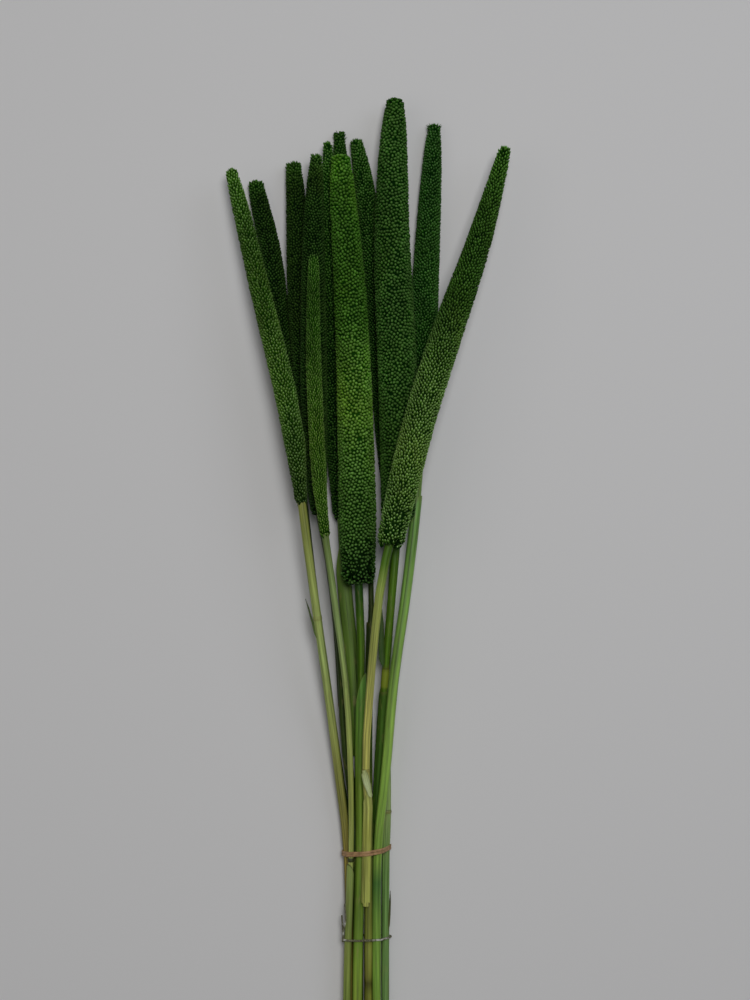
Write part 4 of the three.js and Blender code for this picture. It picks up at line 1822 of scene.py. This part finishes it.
# Painted shade: a darker stem green for the stems that lie in the shade of the others.
SHADOWED_STEM = StalkFinish("shadowed_stem", ((0.0, DEEP_GREEN), (0.5, DARK_GREEN), (1.0, DARK_GREEN)))
SHADED_STEM = StalkFinish("shaded_stem", ((0.0, DEEP_GREEN), (0.6, DEEP_GREEN), (1.0, LEAF_GREEN)))
MID_STEM = StalkFinish(
    "mid_green_stem",
    (
        (0.0, MID_GREEN),
        (0.86, MID_GREEN),
        (0.915, (0.032, 0.095, 0.001)),
        (0.95, (0.012, 0.055, 0.0005)),
    ),
    (0.22, 0.27, 0.022),
)
BRIGHT_STEM = StalkFinish(
    "bright_stem",
    (
        (0.0, (0.17, 0.31, 0.09)),
        (0.32, (0.15, 0.29, 0.07)),
        (0.42, (0.32, 0.47, 0.14)),
        (1.0, (0.12, 0.24, 0.04)),
    ),
)
KHAKI_STEM = StalkFinish(
    "khaki_stem",
    (
        (0.0, KHAKI),
        (0.5, (0.52, 0.51, 0.125)),
        (0.78, (0.37, 0.44, 0.1)),
        (0.84, (0.27, 0.36, 0.07)),
        (0.905, (0.075, 0.17, 0.008)),
        (1.0, (0.025, 0.08, 0.003)),
    ),
)
YELLOW_STEM = StalkFinish(
    "yellow_green_stem",
    (
        (0.0, (0.42, 0.52, 0.15)),
        (0.5, (0.43, 0.5, 0.12)),
        (0.8, (0.23, 0.33, 0.11)),
        (1.0, (0.13, 0.19, 0.045)),
    ),
    (0.03, 0.04, 0.012),
)

STEMS = (
    Stem(1, OLIVE_STEM, (Joint(-21.0, share=0.3),)),
    Stem(2, SHADOWED_STEM),
    Stem(3, SHADOWED_STEM, (Joint(-81.0),)),
    Stem(4, SHADOWED_STEM),
    Stem(5, SHADED_STEM),
    Stem(6, SHADOWED_STEM),
    Stem(7, MID_STEM),
    Stem(8, BRIGHT_STEM, (Joint(-152.7, 1.2, 0.45, 0.6, 0.9),)),
    Stem(9, MID_STEM, (Joint(-61.0, 6.5, 0.15, 0.85, 0.9),)),
    Stem(10, BRIGHT_STEM),
    Stem(11, KHAKI_STEM, (Joint(-121.5, 1.0, 0.25, 0.5, 0.8),)),
    Stem(12, YELLOW_STEM, (Joint(-65.0, 2.0, 0.2, 0.1), Joint(-183.4, 1.3, 0.5, 0.95))),
)

BROAD_SHEATH = StalkFinish(
    "broad_sheath", ((0.0, (0.065, 0.125, 0.01)), (0.5, (0.1, 0.18, 0.022)), (1.0, (0.14, 0.25, 0.045)))
)
OLIVE_SHEATH = StalkFinish(
    "olive_sheath",
    (
        (0.0, (0.12, 0.13, 0.016)),
        (0.155, (0.17, 0.19, 0.025)),
        (0.183, (0.06, 0.065, 0.008)),
        (0.198, (0.16, 0.17, 0.025)),
        (0.26, (0.26, 0.3, 0.05)),
        (0.4, (0.2, 0.24, 0.04)),
        (0.7, DEEP_GREEN),
        (1.0, DARK_GREEN),
    ),
)
BLUE_SHEATH = StalkFinish(
    "blue_green_sheath",
    (
        (0.0, (0.28, 0.37, 0.05)),
        (0.3, (0.155, 0.27, 0.03)),
        (0.7, (0.13, 0.215, 0.018)),
        (1.0, (0.15, 0.36, 0.055)),
    ),
)
DEEP_SHEATH = StalkFinish(
    "deep_sheath", ((0.0, (0.08, 0.16, 0.014)), (0.7, (0.04, 0.105, 0.006)), (1.0, (0.05, 0.12, 0.009)))
)
BRIGHT_SHEATH = StalkFinish(
    "bright_sheath",
    (
        (0.0, (0.2, 0.36, 0.045)),
        (0.24, (0.2, 0.37, 0.055)),
        (0.31, (0.08, 0.2, 0.04)),
        (0.35, (0.23, 0.4, 0.06)),
        (0.6, (0.27, 0.46, 0.08)),
        (1.0, (0.14, 0.31, 0.065)),
    ),
)
STRAW_SHEATH = StalkFinish(
    "straw_sheath", ((0.0, (0.45, 0.5, 0.11)), (0.6, (0.39, 0.42, 0.085)), (1.0, (0.47, 0.52, 0.15)))
)
PALE_SHEATH = StalkFinish(
    "pale_sheath",
    ((0.0, (0.21, 0.32, 0.055)), (0.5, (0.195, 0.245, 0.05)), (1.0, (0.28, 0.38, 0.1))),
    (0.05, 0.05, 0.02),
)

SHEATHS = (
    Sheath(5, BROAD_SHEATH, lip=34, lip_turn=70, seam_turn=25),
    Sheath(6, OLIVE_SHEATH, lip=10, lip_turn=-60, seam_turn=120),
    Sheath(7, BLUE_SHEATH, lip=26, lip_turn=65, seam_turn=70),
    Sheath(9, DEEP_SHEATH, lip=3, lip_turn=-40, seam_turn=-50, ragged=(0.0, 4.0)),
    Sheath(10, BRIGHT_SHEATH, lip=10, lip_turn=70, seam_turn=-20, seam=1.0, seam_from=0.6),
    Sheath(11, STRAW_SHEATH, lip=14, lip_turn=80, seam_turn=-30, ragged=(1.8, 1.0)),
    Sheath(12, PALE_SHEATH, lip=9, lip_turn=-50, seam_turn=40, lip_tint=0.9, drop=4.5),
)

DARK_SHRED = StalkFinish("dark_shred", ((0.0, (0.1, 0.16, 0.03)), (1.0, (0.04, 0.06, 0.015))))
BROWN_SHRED = StalkFinish("brown_shred", ((0.0, (0.1, 0.13, 0.03)), (1.0, (0.05, 0.06, 0.02))))
DEEP_BLADE = StalkFinish("deep_blade", ((0.0, (0.03, 0.08, 0.006)), (1.0, (0.03, 0.07, 0.006))))
PALE_FLAP = StalkFinish(
    "pale_flap", ((0.0, (0.5, 0.58, 0.27)), (0.5, (0.58, 0.66, 0.36)), (1.0, (0.44, 0.5, 0.2)))
)

TORN_LEAVES = (
    TornLeaf(1, DARK_SHRED, blunt=0.2, root=1.5),
    TornLeaf(8, BROWN_SHRED, root=-0.9),
    TornLeaf(9, DEEP_BLADE, root=1.4),
    TornLeaf(11, PALE_FLAP, curl=0.7, blunt=0.6, taper_rows=4),
)


def main() -> None:
    """Builds the studio and every piece of the bunch in order."""
    logging.basicConfig(level=logging.INFO, format="%(name)s %(message)s")
    Studio().build()
    grains = {habit: SmallShape(*habit.value.grain.build()) for habit in Habit}
    bristle = SmallShape(*Bristle().build())
    pith = PithFinish().material()
    for spike in SPIKES:
        spike.build(grains[spike.habit], bristle)
    for stem in STEMS:
        stem.build(pith)
    for sheath in SHEATHS:
        sheath.build()
    for leaf in TORN_LEAVES:
        leaf.build()
    RubberBand().build()
    Twine().build()


if __name__ == "__main__":
    main()
